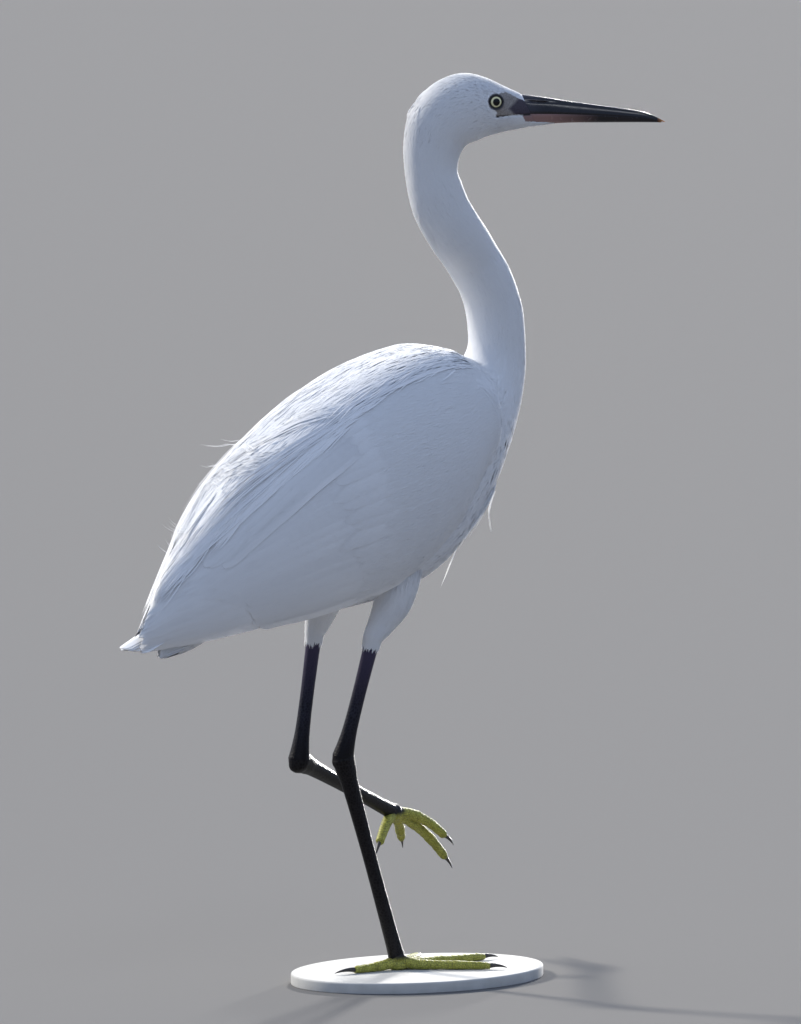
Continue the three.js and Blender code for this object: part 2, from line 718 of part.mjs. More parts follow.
// A nostril: a narrow slit cut along the side of the upper bill.
function nostril(side) {
  const stations = [[18, 0.3], [22, 0.7], [29, 0.15]].map(([ahead, halfHeight]) => [
    onHead(ahead, side * 8, halfHeight - 0.2),
    onHead(ahead, side * 3.6, halfHeight - 0.2),
    onHead(ahead, side * 3.6, -halfHeight - 0.2),
    onHead(ahead, side * 8, -halfHeight - 0.2),
  ]);
  return vane(stations);
}

// A ring of lid round the eye, facing as the eye does.
function lid(side) {
  const centre = onHead(0, side * cheekHalfWidth, 0);
  const ring = new THREE.TorusGeometry(lidRing, lidThickness, 4, 12);
  ring.rotateX(Math.PI / 2).rotateZ(-side * eyeForward - headTurn);
  return solidOf(ring.translate(centre.x, centre.y, centre.z));
}

function eyeball(side, radius, detail) {
  const inward = eyeRadius - eyeBulge;
  const ahead = -inward * Math.sin(eyeForward);
  const out = cheekHalfWidth - inward * Math.cos(eyeForward);
  return ball(onHead(ahead, side * out, 0), radius, detail);
}

// The oval base, with its edges broken. It is given from the floor up.
function standBase() {
  const sides = 36;
  const levels = [[0, standChamfer / 2], [standChamfer / 2, 0], [standHeight - standChamfer, 0],
    [standHeight, standChamfer]];
  return loft(levels.map(([height, inset]) => Array.from({ length: sides }, (_, k) => {
    const angle = (2 * Math.PI * k) / sides;
    const x = standCentre.x + (standHalfLength - inset) * Math.cos(angle);
    const y = standCentre.y + (standHalfWidth - inset) * Math.sin(angle);
    return new THREE.Vector3(x, y, height);
  })));
}

// Assembly
const bird = new THREE.Group();
bird.name = "little_egret";

function addNode(name, solid, colour, roughness, rise = standHeight + gap) {
  const { numProp, vertProperties, triVerts } = solid.getMesh();
  const count = vertProperties.length / numProp;
  const positions = new Float32Array(count * 3);
  for (let i = 0; i < count; i++) {
    positions.set(vertProperties.subarray(i * numProp, i * numProp + 3), i * 3);
  }
  const geometry = new THREE.BufferGeometry();
  geometry.setAttribute("position", new THREE.BufferAttribute(positions, 3));
  geometry.setIndex(new THREE.BufferAttribute(new Uint32Array(triVerts), 1));
  geometry.translate(0, 0, rise);
  geometry.computeVertexNormals();
  const material = new THREE.MeshStandardMaterial({ color: colour, roughness, metalness: 0 });
  const mesh = new THREE.Mesh(geometry, material);
  mesh.name = name;
  bird.add(mesh);
}

const trunk = flesh(0, neckFrom, 15, 18);
const trunkRoom = flesh(-0.1, neckFrom, 15, 18, cutRoom);
const backFeathers = backTiers.flatMap((row, i) => tier({ ...row, side: -1, seed: 301 + 13 * i }));
const torso = largest(joined([trunk, ...backFeathers, ...backPlumes(), ...breastPlumes()]));
addNode("torso", torso, white, 0.9);

addNode("neck_lower", flesh(pastGap(neckFrom), neckLowerTo, 5, 16), white, 0.9);
addNode("neck_middle", flesh(pastGap(neckLowerTo), neckMiddleTo, 5, 16), white, 0.9);
addNode("neck_upper", flesh(pastGap(neckMiddleTo), headFrom, 5, 16), white, 0.9);

const eyes = { right: -1, left: 1 };
const sockets = Object.values(eyes).map((side) => eyeball(side, eyeRadius + gap, 12));
const lids = Object.values(eyes).map(lid);
const chin = billPart(chinRows, 3, 9, -1);
const face = joined([flesh(pastGap(headFrom), faceAt, 12, 16), chin, ...lids, ...napeLocks.map(napeLock)]);
addNode("head", largest(without(face, [...sockets, mouthSlit()])), white, 0.9);

for (const [name, side] of Object.entries(eyes)) {
  addNode(`eye_${name}`, eyeball(side, eyeRadius, 12), iris, 0.1);
}
const upperBill = without(billPart(upperBillRows, 9, 9, 1), Object.values(eyes).map(nostril));
addNode("bill_upper", largest(upperBill), horn, 0.35);
const chinRoom = billPart(chinRows, 3, 9, -1, cutRoom);
addNode("bill_lower", largest(billPart(lowerBillRows, 9, 9, -1).subtract(chinRoom)), horn, 0.35);

const standing = standingFoot();
const raised = raisedFoot();
const legs = {
  right: leg(new THREE.Vector3(-19, -19, 205), new THREE.Vector3(-30.5, -14, 180), standingKnee,
    standingAnkle, standing.rooms),
  left: leg(new THREE.Vector3(-36, 20, 203), new THREE.Vector3(-41, 22, 180), raisedKnee,
    raisedAnkle, raised.rooms),
};
for (const [name, parts] of Object.entries(legs)) {
  addNode(`thigh_${name}`, parts.thigh, white, 0.9);
  addNode(`shank_${name}`, parts.shank, legSkin, 0.5);
  addNode(`tarsus_${name}`, parts.tarsus, legSkin, 0.5);
}
for (const [name, { foot, claws }] of Object.entries({ right: standing, left: raised })) {
  addNode(`foot_${name}`, largest(foot), footSkin, 0.6);
  for (const [toeName, solid] of Object.entries(claws)) {
    addNode(`claw_${name}_${toeName}`, solid, horn, 0.4);
  }
}

for (const [name, side] of Object.entries(eyes)) {
  const arm = largest(armShell(side).subtract(trunkRoom));
  const wing = joined([arm, ...wingFeathers(side, side < 0 ? 57 : 83)]);
  addNode(`wing_${name}`, largest(without(wing, [trunkRoom, legs[name].thighRoom])), white, 0.9);
}
addNode("tail", largest(tail()), white, 0.9);
addNode("stand_base", standBase(), paint, 0.7, 0);

export default bird;
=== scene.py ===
# %% [markdown]
# # A little egret at life size
# The model is dressed over a fixed frame of plain solids. The frame gives the size and the
# pose, and everything that shows is made here: the skin, the feathers, the bill, the eyes
# and the scaled legs. The bird heads along +X with its left side towards +Y, and +Z is up.

import math

import bpy
import numpy as np
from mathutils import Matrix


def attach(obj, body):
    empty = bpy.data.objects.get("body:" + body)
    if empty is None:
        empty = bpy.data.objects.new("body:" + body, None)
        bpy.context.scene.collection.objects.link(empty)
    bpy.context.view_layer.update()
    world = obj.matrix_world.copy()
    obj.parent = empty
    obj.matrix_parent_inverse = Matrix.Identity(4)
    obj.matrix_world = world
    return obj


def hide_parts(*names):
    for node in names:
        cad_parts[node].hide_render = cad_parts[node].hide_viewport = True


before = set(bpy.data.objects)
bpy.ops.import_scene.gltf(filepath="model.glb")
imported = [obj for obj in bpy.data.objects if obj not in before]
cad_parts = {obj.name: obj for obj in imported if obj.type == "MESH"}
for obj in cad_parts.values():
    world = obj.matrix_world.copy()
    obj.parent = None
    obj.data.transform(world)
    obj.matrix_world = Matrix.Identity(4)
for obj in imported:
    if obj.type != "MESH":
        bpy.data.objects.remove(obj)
bpy.context.view_layer.update()

# %% [markdown]
# ## The body as a run of sections
# A bird's body and neck are one long form that changes its section all the way. It could be
# sculpted, but a table of sections keeps the shape tied to the solids: each row is an oval
# given by its back point, its underside and its half width. Sizes are in millimetres, as on
# a drawing, and are turned into metres only when a mesh is made.

# %% Tables of sections
MM = 0.001
stand_height = 6.0
rise = stand_height + 0.3
neck_axis_x = 24.0
head_turn = math.radians(40)
eye_reach = 34.5
eye_height = 471.0

# back X and Z, underside X and Z, half width, squareness, share of the head's turn
trunk_rows = [
    [-119, 248, -127, 200, 14, 2.2, 0],
    [-100, 274, -108, 197, 23, 2.4, 0],
    [-76, 296, -84, 197, 31.5, 2.5, 0],
    [-46, 317, -52, 199, 37.5, 2.5, 0],
    [-15, 331, -15, 205, 41, 2.5, 0],
    [15, 337, 17, 218, 40, 2.4, 0],
    [34, 334.5, 44.5, 246, 35, 2.3, 0],
    [44, 331, 63, 271, 27.5, 2.2, 0],
    [49.5, 329.5, 78.5, 297, 20.5, 2.1, 0],
    [53.5, 336, 86, 322, 16, 2, 0],
]
# centre X and Z, half depth, half width
neck_rows = [
    [69.2, 348, 16.2, 14.6],
    [66.3, 360, 15.8, 14.3],
    [60.5, 372.5, 15.5, 14.2],
    [51, 385.5, 15.5, 14],
    [39, 398, 15.8, 13.8],
    [30, 411, 15.5, 13.6],
    [25.2, 424, 15, 13.5],
]
# ahead of and above the eyes: back point, underside, half width
head_rows = [
    [-50, -34, -20.8, -38, 13.4],
    [-50, -22, -19.2, -30, 13.6],
    [-47.3, -8, -15.5, -24, 14],
    [-38.5, 5, -9.5, -21.5, 14.3],
    [-28, 12.2, -5, -19.6, 14.2],
    [-17, 14.7, 0, -18.2, 13.6],
    [-6, 12.4, 6, -16.8, 12.2],
    [4.5, 7.6, 13, -15.4, 9.8],
    [14, 3.2, 22, -13.3, 6.6],
]


def neck_section(i):
    x, z, half_depth, half_width = neck_rows[i]
    before, after = neck_rows[max(i - 1, 0)], neck_rows[min(i + 1, len(neck_rows) - 1)]
    run_x, run_z = after[0] - before[0], after[1] - before[1]
    length = math.hypot(run_x, run_z)
    depth_x, depth_z = -run_z / length * half_depth, run_x / length * half_depth
    turn = max(0, (i - 3) / 4)  # the upper four sections turn with the head
    return [x + depth_x, z + depth_z, x - depth_x, z - depth_z, half_width, 2, turn]


def head_section(row):
    eye = [neck_axis_x + eye_reach, eye_height]
    return [given + start for given, start in zip(row, eye + eye)] + [row[4], 2, 1]


body_rows = trunk_rows + [neck_section(i) for i in range(len(neck_rows))]
body_rows += [head_section(row) for row in head_rows]
# places along the body are counted in rows, and lie between two rows as fractions
neck_start = len(trunk_rows) - 0.6
head_start = neck_start + 7.6
face_end = len(body_rows) - 1
print("body sections", len(body_rows), "neck from", neck_start, "head from", head_start)


# %% [markdown]
# ## Reading a table smoothly
# Straight lines between the sections would show as kinks. A curve that passes through every
# row, with slopes taken from the neighbours, keeps the measured sections and rounds the way
# between them. Arrays are read all at once, which keeps the making fast.

# %% Curves through the rows
def between(rows, place):
    rows = np.asarray(rows, float)
    last = len(rows) - 1
    place = np.clip(np.asarray(place, float), 0, last)
    i = np.minimum(place.astype(int), last - 1)
    t = (place - i)[..., None]
    a, b = rows[np.maximum(i - 1, 0)], rows[i]
    c, d = rows[i + 1], rows[np.minimum(i + 2, last)]
    leave, arrive = (c - a) / 2, (d - b) / 2
    bend = 3 * (c - b) - 2 * leave - arrive
    back = leave + arrive - 2 * (c - b)
    return b + t * (leave + t * (bend + t * back))


def turned(reach, side, height, turn):
    x = neck_axis_x + reach * np.cos(turn) + side * np.sin(turn)
    y = side * np.cos(turn) - reach * np.sin(turn)
    return np.stack([x, y, height + 0 * x], axis=-1)


def on_head(ahead, side, up):
    """A point given ahead of the eyes, to the left and above them."""
    ahead, side, up = (np.asarray(value, float) for value in (ahead, side, up))
    return turned(eye_reach + ahead, side, eye_height + up, head_turn)


def head_place(points):
    """The way back: ahead, side and up for points of the head."""
    x, y, z = points[..., 0] - neck_axis_x, points[..., 1], points[..., 2]
    ahead = x * math.cos(head_turn) - y * math.sin(head_turn) - eye_reach
    side = x * math.sin(head_turn) + y * math.cos(head_turn)
    return ahead, side, z - eye_height


def body_point(place, angle, grow):
    """A point of the sections; the angle runs from the back point round by the left side."""
    row = between(body_rows, place)
    back_x, back_z, under_x, under_z, half_width, squareness, share = np.moveaxis(row, -1, 0)
    half_depth = np.hypot(back_x - under_x, back_z - under_z) / 2
    scale = 1 + grow / half_depth
    cos, sin = np.cos(angle), np.sin(angle)
    depth = np.sign(cos) * np.abs(cos) ** (2 / squareness)
    side = np.sign(sin) * np.abs(sin) ** (2 / squareness) * (half_width + grow)
    x = (back_x + under_x) / 2 + (back_x - under_x) / 2 * scale * depth
    z = (back_z + under_z) / 2 + (back_z - under_z) / 2 * scale * depth
    return turned(x - neck_axis_x, side, z, head_turn * share)


def fade(value, start, end):
    """0 at start, 1 at end, smooth between."""
    t = np.clip((value - start) / (end - start), 0, 1)
    return t * t * (3 - 2 * t)


def full_turn(count):
    """Angles of one turn in equal steps."""
    return np.arange(count) * 2 * math.pi / count


sample = body_point(np.array([4.0, 22.0]), np.array([0.0, math.pi]), 0)
print("a back and a throat point in mm", np.round(sample, 1).tolist())


# %% [markdown]
# ## The folded wings as a surface
# Folded wings wrap the trunk like two shells. Their feathers all lie on one smooth surface,
# so the surface is described once, as ovals along the body, and each feather is then placed
# by its distance along it, its angle and its height above it.

# %% The surface the wing feathers lie on
# X, half width, height of the middle, half height
wing_rows = [
    [38, 41, 296, 40],
    [13, 47, 283, 56],
    [-22, 49, 270, 65],
    [-57, 46, 258, 63],
    [-92, 39.5, 244, 55],
    [-127, 29, 227, 42],
    [-157, 19, 210, 26],
    [-198, 7, 191, 8],
]
valley_depth = 2.0
valley_width = math.radians(17)
# the plumes of the back lie on a saddle: how deep it is along the body, from the rear
saddle = [[-135, 0], [-118, 0.8], [-92, 5.0], [-45, 7.5], [-13, 5.8], [11, 1.0], [30, 0]]
saddle_width = math.radians(38)
# behind, wing tips and plumes end on one slanting line: a point of it, its slope, the way in
# from it, how much a place off the middle shifts it, the room kept to it, where it sets in
rear_line_x, rear_line_z, rear_slope = -161.6, 236.5, 1.8
rear_in_x, rear_in_z, rear_aside, rear_room = 0.874, 0.486, 0.84, 2.7
rear_from, rear_full = -128, -150
wing_stations = np.array([row[0] for row in wing_rows], float)


def wing_section(x):
    x = np.asarray(x, float)
    order = np.interp(-x, -wing_stations, np.arange(len(wing_rows)))
    outside = np.where(x > wing_stations[0], (wing_stations[0] - x) / 25, 0)
    row = between(wing_rows, order)
    first, second = np.array(wing_rows[0], float), np.array(wing_rows[1], float)
    row = row + np.minimum(outside, 0)[..., None] * (second - first) * 0.9
    return row[..., 1], row[..., 2], row[..., 3]


def on_wing(x, angle, over, side):
    """x along the body, the angle up from the widest line, the height over the surface."""
    half_width, middle, half_height = wing_section(x)
    from_top = (angle - math.pi / 2) / valley_width
    from_saddle = (angle - math.pi / 2) / saddle_width
    lift = over - valley_depth * np.exp(-from_top * from_top)
    lift = lift - np.interp(x, *zip(*saddle)) * np.exp(-from_saddle * from_saddle)
    y = side * (half_width + lift) * np.cos(angle)
    z = middle + (half_height + lift) * np.sin(angle)
    aside = rear_aside * side * half_width * np.cos(angle)
    line_z = rear_line_z + rear_slope * (x - aside - rear_line_x)
    beyond = (middle + half_height * np.sin(angle) - line_z) / math.hypot(1, rear_slope) + rear_room
    beyond = 0.5 * (beyond + np.sqrt(beyond * beyond + 1)) * fade(x, rear_from, rear_full)
    return np.stack([x + rear_in_x * beyond + 0 * y, y, z - rear_in_z * beyond], axis=-1)


print("shoulder point in mm", np.round(on_wing(13.0, 0.0, 0.0, -1), 1).tolist())


# %% [markdown]
# ## The skin
# Under the feathers is one continuous skin. It lies inside the solids by the depth of the
# coat: little on the face, more on the breast. Where the wings are folded against the trunk
# it swells out under them. It is made as a fine grid of rings, because the rings give every
# feather a place and a direction for free.

# %% Depth of the coat, swelling under the wings, eye sockets and the corner of the mouth
eye_radius = 5.0
eye_bulge = 1.5
cheek_half_width = 10.9
eye_forward = math.radians(13)
lid_reach = 4.2


def coat_depth(place):
    body, neck, head = 3.0, 1.5, 0.8
    on_neck = fade(place, neck_start - 2, neck_start + 0.5)
    on_face = fade(place, head_start - 1, head_start + 3)
    at_bill = fade(place, face_end - 2.5, face_end - 0.5)
    return (body + (neck - body) * on_neck + (head - neck) * on_face) * (1 - 0.85 * at_bill)


def swell_under_wings(points, place):
    half_width, middle, half_height = wing_section(points[:, 0])
    across = points[:, 1] / (half_width - 3.5)
    upright = (points[:, 2] - middle) / (half_height - 3.5)
    radius = np.maximum(np.hypot(across, upright), 1e-6)
    angle = np.degrees(np.arctan2(upright, np.abs(across)))
    x = points[:, 0]
    share = fade(x, 48, 30) * fade(x, -122, -96) * fade(angle, -58, -46) * fade(angle, 72, 46)
    share = share * (place < neck_start)
    out = np.where(radius < 1, 1 / radius - 1, 0) * share
    moved = points.copy()
    moved[:, 1] += points[:, 1] * out
    moved[:, 2] += (points[:, 2] - middle) * out
    return moved


def eye_offset(points, side):
    """How far points are out along the eye's axis, and their distance from that axis."""
    ahead, across, up = head_place(points)
    from_cheek = across * side - cheek_half_width
    cos, sin = math.cos(eye_forward), math.sin(eye_forward)
    return from_cheek * cos + ahead * sin, ahead * cos - from_cheek * sin, up


def mouth_height(ahead):
    """The line of the mouth on the cheek, above the eyes' height."""
    return -8.2 + 0.05 * (ahead + 0.5)


def shape_face(points, place):
    moved = points.copy()
    ahead, across, up = head_place(points)
    for side in (-1, 1):
        near = (place > head_start + 2) & (across * side > 3)
        _, along, height = eye_offset(points, side)
        r = np.hypot(along, height)
        ring = 0.45 * np.exp(-(((r - lid_reach) / 0.8) ** 2))
        socket = -2.4 * fade(r, 3.7, 2.9)
        lore = -0.55 * np.exp(-(((along - 9) / 4.2) ** 2) - ((height + 1) / 3) ** 2)
        brow = 0.5 * np.exp(-(((along - 1) / 5) ** 2) - ((height - 5.5) / 1.6) ** 2)
        crease = -0.6 * np.exp(-(((up - mouth_height(ahead)) / 0.5) ** 2)) * fade(ahead, -2, 2)
        push = (ring + socket + lore + brow + crease) * near
        out_x, out_y = math.sin(eye_forward), side * math.cos(eye_forward)
        moved[:, 0] += push * (out_x * math.cos(head_turn) + out_y * math.sin(head_turn))
        moved[:, 1] += push * (out_y * math.cos(head_turn) - out_x * math.sin(head_turn))
    return moved


def skin_point(place, angle):
    flat = body_point(place, angle, -coat_depth(place))
    return shape_face(swell_under_wings(flat, place), place)


depths = coat_depth(np.array([3.0, 13.0, 22.0]))
print("coat depth on body, neck and face in mm", np.round(depths, 2).tolist())

# %% [markdown]
# The skin is read off the sections ring by ring. The rings stand closer on the neck and
# closest on the face, where the forms are small. Their steps are counted along the body's
# middle line, so that a long section gets as many rings as it needs.

# %% The grid of rings
skin_sides = 200
fine_places = np.linspace(0, face_end, 6000)
fine_centres = (body_point(fine_places, 0.0, 0) + body_point(fine_places, math.pi, 0)) / 2
fine_steps = np.linalg.norm(np.diff(fine_centres, axis=0), axis=1)
ring_spacing = 1.7 - 0.6 * fade(fine_places, 7, 10)
ring_spacing -= 0.65 * fade(fine_places, head_start - 0.5, head_start + 2)
ring_count = np.concatenate([[0], np.cumsum(fine_steps / ring_spacing[1:])])
skin_rings = int(ring_count[-1])
ring_places = np.interp(np.linspace(0, ring_count[-1], skin_rings), ring_count, fine_places)
ring_lengths = np.interp(ring_places, fine_places, np.concatenate([[0], np.cumsum(fine_steps)]))

place_grid, angle_grid = np.meshgrid(ring_places, full_turn(skin_sides), indexing="ij")
skin_grid = skin_point(place_grid.ravel(), angle_grid.ravel()).reshape(skin_rings, skin_sides, 3)
# the rings of the throat bend sharply, so only there they are softened along the body
at_throat = np.exp(-((ring_places[1:-1] - head_start) ** 2))[:, None, None]
for _ in range(40):
    softened = (skin_grid[:-2] + 2 * skin_grid[1:-1] + skin_grid[2:]) / 4
    skin_grid[1:-1] += at_throat * (softened - skin_grid[1:-1])


def grid_normals(grid):
    along = np.gradient(grid, axis=0)
    around = np.roll(grid, -1, axis=1) - np.roll(grid, 1, axis=1)
    normals = np.cross(around, along)
    normals /= np.maximum(np.linalg.norm(normals, axis=-1, keepdims=True), 1e-9)
    outward = np.sum(normals * (grid - grid.mean(axis=1, keepdims=True)), axis=-1).mean()
    return normals if outward > 0 else -normals


skin_normals = grid_normals(skin_grid)
print("skin grid", skin_rings, "rings of", skin_sides)


# %% [markdown]
# ## Making meshes from arrays
# Tens of thousands of feathers can't be added one by one. Their points and faces are worked
# out as arrays and handed to Blender in one go. Each vertex can carry numbers of its own,
# such as how far it is from root to tip, which the materials read later.

# %% A mesh from arrays
def add_object(name, data):
    thing = bpy.data.objects.new(name, data)
    bpy.context.scene.collection.objects.link(thing)
    return thing


def add_number(piece, label, values):
    attribute = piece.data.attributes.new(label, "FLOAT", "POINT")
    attribute.data.foreach_set("value", np.asarray(values, np.float32))


def join_into(piece, others):
    chosen = [piece, *others]
    with bpy.context.temp_override(active_object=piece, selected_editable_objects=chosen):
        bpy.ops.object.join()


def make_piece(name, points, faces, numbers=None, maps=None, normals=None):
    mesh = bpy.data.meshes.new(name)
    corners = np.concatenate([face.ravel() for face in faces]).astype(np.int32)
    sizes = np.concatenate([np.full(len(face), face.shape[1]) for face in faces])
    starts = np.concatenate([[0], np.cumsum(sizes)[:-1]]).astype(np.int32)
    mesh.vertices.add(len(points))
    placed = (np.asarray(points) + [0, 0, rise]) * MM
    mesh.vertices.foreach_set("co", placed.astype(np.float32).ravel())
    mesh.loops.add(len(corners))
    mesh.loops.foreach_set("vertex_index", corners)
    mesh.polygons.add(len(sizes))
    mesh.polygons.foreach_set("loop_start", starts)
    mesh.polygons.foreach_set("use_smooth", np.ones(len(sizes), bool))
    for label, values in (maps or {}).items():
        layer = mesh.uv_layers.new(name=label)
        layer.data.foreach_set("uv", np.asarray(values, np.float32)[corners].ravel())
    mesh.update(calc_edges=True)
    if normals is not None:
        mesh.normals_split_custom_set(normals if len(normals) == len(corners) else normals[corners])
    piece = add_object(name, mesh)
    for label, values in (numbers or {}).items():
        add_number(piece, label, values)
    print(name, "triangles", int(np.sum(sizes - 2)))
    return piece


def ring_faces(rings, sides, start=0):
    """Quads between rings of points, wound so that they face outward for rings that run on."""
    i, j = np.meshgrid(np.arange(rings - 1), np.arange(sides), indexing="ij")
    a = start + i * sides + j
    b = start + i * sides + (j + 1) % sides
    return np.stack([a, b, b + sides, a + sides], axis=-1).reshape(-1, 4)


def tube(grid):
    """Points and faces of a closed form through rings of points, with a fan on each end."""
    rings, sides = grid.shape[:2]
    points = np.concatenate([grid.reshape(-1, 3), grid[0].mean(0)[None], grid[-1].mean(0)[None]])
    j = np.arange(sides)
    nxt = (j + 1) % sides
    first, last = rings * sides, rings * sides + 1
    low = np.stack([nxt, j, np.full(sides, first)], axis=-1)
    top = (rings - 1) * sides
    high = np.stack([top + j, top + nxt, np.full(sides, last)], axis=-1)
    faces = [ring_faces(rings, sides), low, high]
    centre = points.mean(0)
    a, b, c = points[faces[0][:, 0]], points[faces[0][:, 1]], points[faces[0][:, 2]]
    if np.sum(np.cross(b - a, c - a) * (a - centre)) < 0:
        faces = [face[:, ::-1] for face in faces]
    return points, faces


# %% [markdown]
# ## Thighs and tail root
# The thighs leave the belly and the tail leaves the rump without a seam. They are made as
# closed tubes and fused with the body by a boolean union, so that one skin comes out.

# %% Tubes for the thighs and the root of the tail
hips = {"right": (-19, -19, 205), "left": (-36, 20, 203)}
cuffs = {"right": (-30.5, -14, 180), "left": (-41, 22, 180)}
knees = {"right": (-38.8, 0, 118.4), "left": (-49.7, 24, 115.6)}
ankles = {"right": (-1, 0, 7), "left": (54.5, 69, 75)}
thigh_radii = [[14], [10.3], [7.2], [5.3], [4.7]]
tail_rows = [
    [-98, 196.5, -92, 240, 11.5],
    [-112, 194.2, -106, 246, 12.8],
    [-127.4, 192.5, -119.4, 248, 13.6],
    [-140, 187.5, -133, 228, 12],
    [-150, 184, -145, 208, 9.5],
    [-158, 182.5, -156, 192, 6],
]


def unit(vectors):
    return vectors / np.maximum(np.linalg.norm(vectors, axis=-1, keepdims=True), 1e-9)


def curve_through(points, count):
    return between(np.asarray(points, float), np.linspace(0, len(points) - 1, count))


def limb_grid(points, radii, sides, rings, deeper, grow=0.0):
    """Rings round a limb, a little deeper fore and aft than wide."""
    centre = curve_through(points, rings)
    along = unit(np.gradient(centre, axis=0))
    side = unit(np.array([0, 1.0, 0]) - along * along[:, 1:2])
    fore = np.cross(side, along)
    radius = between(radii, np.linspace(0, len(radii) - 1, rings))[:, 0] + grow
    angle = full_turn(sides)[None, :, None]
    ring = fore[:, None] * (np.cos(angle) * deeper) + side[:, None] * np.sin(angle)
    return centre[:, None] + ring * radius[:, None, None]


def thigh_run(name):
    hip, cuff, knee = (np.array(table[name], float) for table in (hips, cuffs, knees))
    down = unit(knee - cuff)
    return [hip + [4, 0, 22], hip, (hip + cuff) / 2, cuff - 5 * down, cuff]


def tail_grid(rings, sides, grow=0.0):
    row = between(tail_rows, np.linspace(0, len(tail_rows) - 1, rings))
    low_x, low_z, high_x, high_z, half_width = np.moveaxis(row[:, None], -1, 0)
    angle = full_turn(sides)
    share = (1 + np.cos(angle)) / 2
    x = low_x + (high_x - low_x) * share
    z = low_z + (high_z - low_z) * share + grow * np.cos(angle)
    y = (half_width + grow) * np.sin(angle)
    return np.stack([x, y, z], axis=-1)


def fuse(body, other):
    step = body.modifiers.new("fuse", "BOOLEAN")
    step.operation = "UNION"
    step.solver = "MANIFOLD"
    step.object = other
    bpy.context.view_layer.objects.active = body
    bpy.ops.object.modifier_apply(modifier=step.name)
    bpy.data.objects.remove(other)


both = ("right", "left")
thigh_deeper = 1.15
skin = make_piece("skin", *tube(skin_grid))
for name in both:
    thigh = limb_grid(thigh_run(name), thigh_radii, 40, 30, thigh_deeper, -1.2)
    fuse(skin, make_piece("thigh_tube", *tube(thigh)))
root_grid = tail_grid(30, 40, -2.5)
root_grid = np.concatenate([root_grid[:1] + [14, 0, 0], root_grid])
fuse(skin, make_piece("tail_tube", *tube(root_grid)))
print("skin after fusing, faces", len(skin.data.polygons))


# %% [markdown]
# ## Lids and the bare face
# Between the eye and the bill an egret has bare skin, grey by the eye and nearly black by the
# bill. No feather may grow there, so its outline is kept as a few corner points and used
# twice: to leave feathers out and to colour the skin. Each lid is a soft ring that closes the
# edge between the eyeball and the cheek.

# %% The outline of the bare face, the lids, and numbers that colour the skin
# ahead of and above the eye
bare_corners = np.array([
    [2.0, 4.6], [5.5, 4.9], [9.6, 2.9], [13.5, 1.1], [16.6, -0.7], [26, -1], [26, -11.4],
    [15.9, -11.0], [14.4, -7.4], [8.8, -7.2], [5.0, -8.5], [-0.2, -8.7], [0.5, -5.8],
    [-0.6, -3.5], [0, 0],
], float)


def edge_distance(points, corners):
    """Distance to an outline, negative inside it."""
    best = np.full(len(points), 1e9)
    inside = np.zeros(len(points), bool)
    for a, b in zip(corners, np.roll(corners, -1, axis=0)):
        run = b - a
        share = np.clip(((points - a) @ run) / (run @ run), 0, 1)
        best = np.minimum(best, np.hypot(*(points - a - share[:, None] * run).T))
        crosses = (a[1] > points[:, 1]) != (b[1] > points[:, 1])
        x = a[0] + (points[:, 1] - a[1]) / np.where(run[1] == 0, 1e-9, run[1]) * run[0]
        inside ^= crosses & (points[:, 0] < x)
    return np.where(inside, -best, best)


def bare_distance(points):
    """How far points of the head are outside its bare skin, in mm."""
    ahead, across, up = head_place(points)
    outline = edge_distance(np.stack([ahead, up], axis=-1), bare_corners)
    outline = np.where(np.abs(across) < 3.0, 5, outline)
    ring = np.full(len(points), 1e9)
    for side in (-1, 1):
        _, along, height = eye_offset(points, side)
        ring = np.where(across * side > 0, np.hypot(along, height) - 4.5, ring)
    return np.minimum(outline, ring)


def lid_grid(side, turns=64, sides=12):
    """A ring round the eye, a little drawn out towards its two corners."""
    turn, section = full_turn(turns)[:, None], full_turn(sides)
    corner = 1 + 0.1 * np.cos(turn) ** 8
    thick = 0.52 + 0.1 * np.sin(turn) ** 2
    reach = 3.72 * corner + thick * np.cos(section)
    out = 0.12 + 0.75 * thick * np.sin(section)
    along, height = reach * np.cos(turn), reach * np.sin(turn)
    ahead = along * math.cos(eye_forward) + out * math.sin(eye_forward)
    across = cheek_half_width + out * math.cos(eye_forward) - along * math.sin(eye_forward)
    return on_head(ahead, side * across, height)


def hoop(grid):
    """Points and faces of a ring that closes on itself."""
    rings, sides = grid.shape[:2]
    i, j = np.meshgrid(np.arange(rings), np.arange(sides), indexing="ij")
    a, b = i * sides + j, i * sides + (j + 1) % sides
    c, d = (i + 1) % rings * sides + (j + 1) % sides, (i + 1) % rings * sides + j
    return grid.reshape(-1, 3), [np.stack([a, b, c, d], axis=-1).reshape(-1, 4)]


def points_of(piece):
    flat = np.zeros(len(piece.data.vertices) * 3, np.float32)
    piece.data.vertices.foreach_get("co", flat)
    return flat.reshape(-1, 3) / MM - [0, 0, rise]


join_into(skin, [make_piece("lid", *hoop(lid_grid(side))) for side in (-1, 1)])
skin.data.shade_smooth()

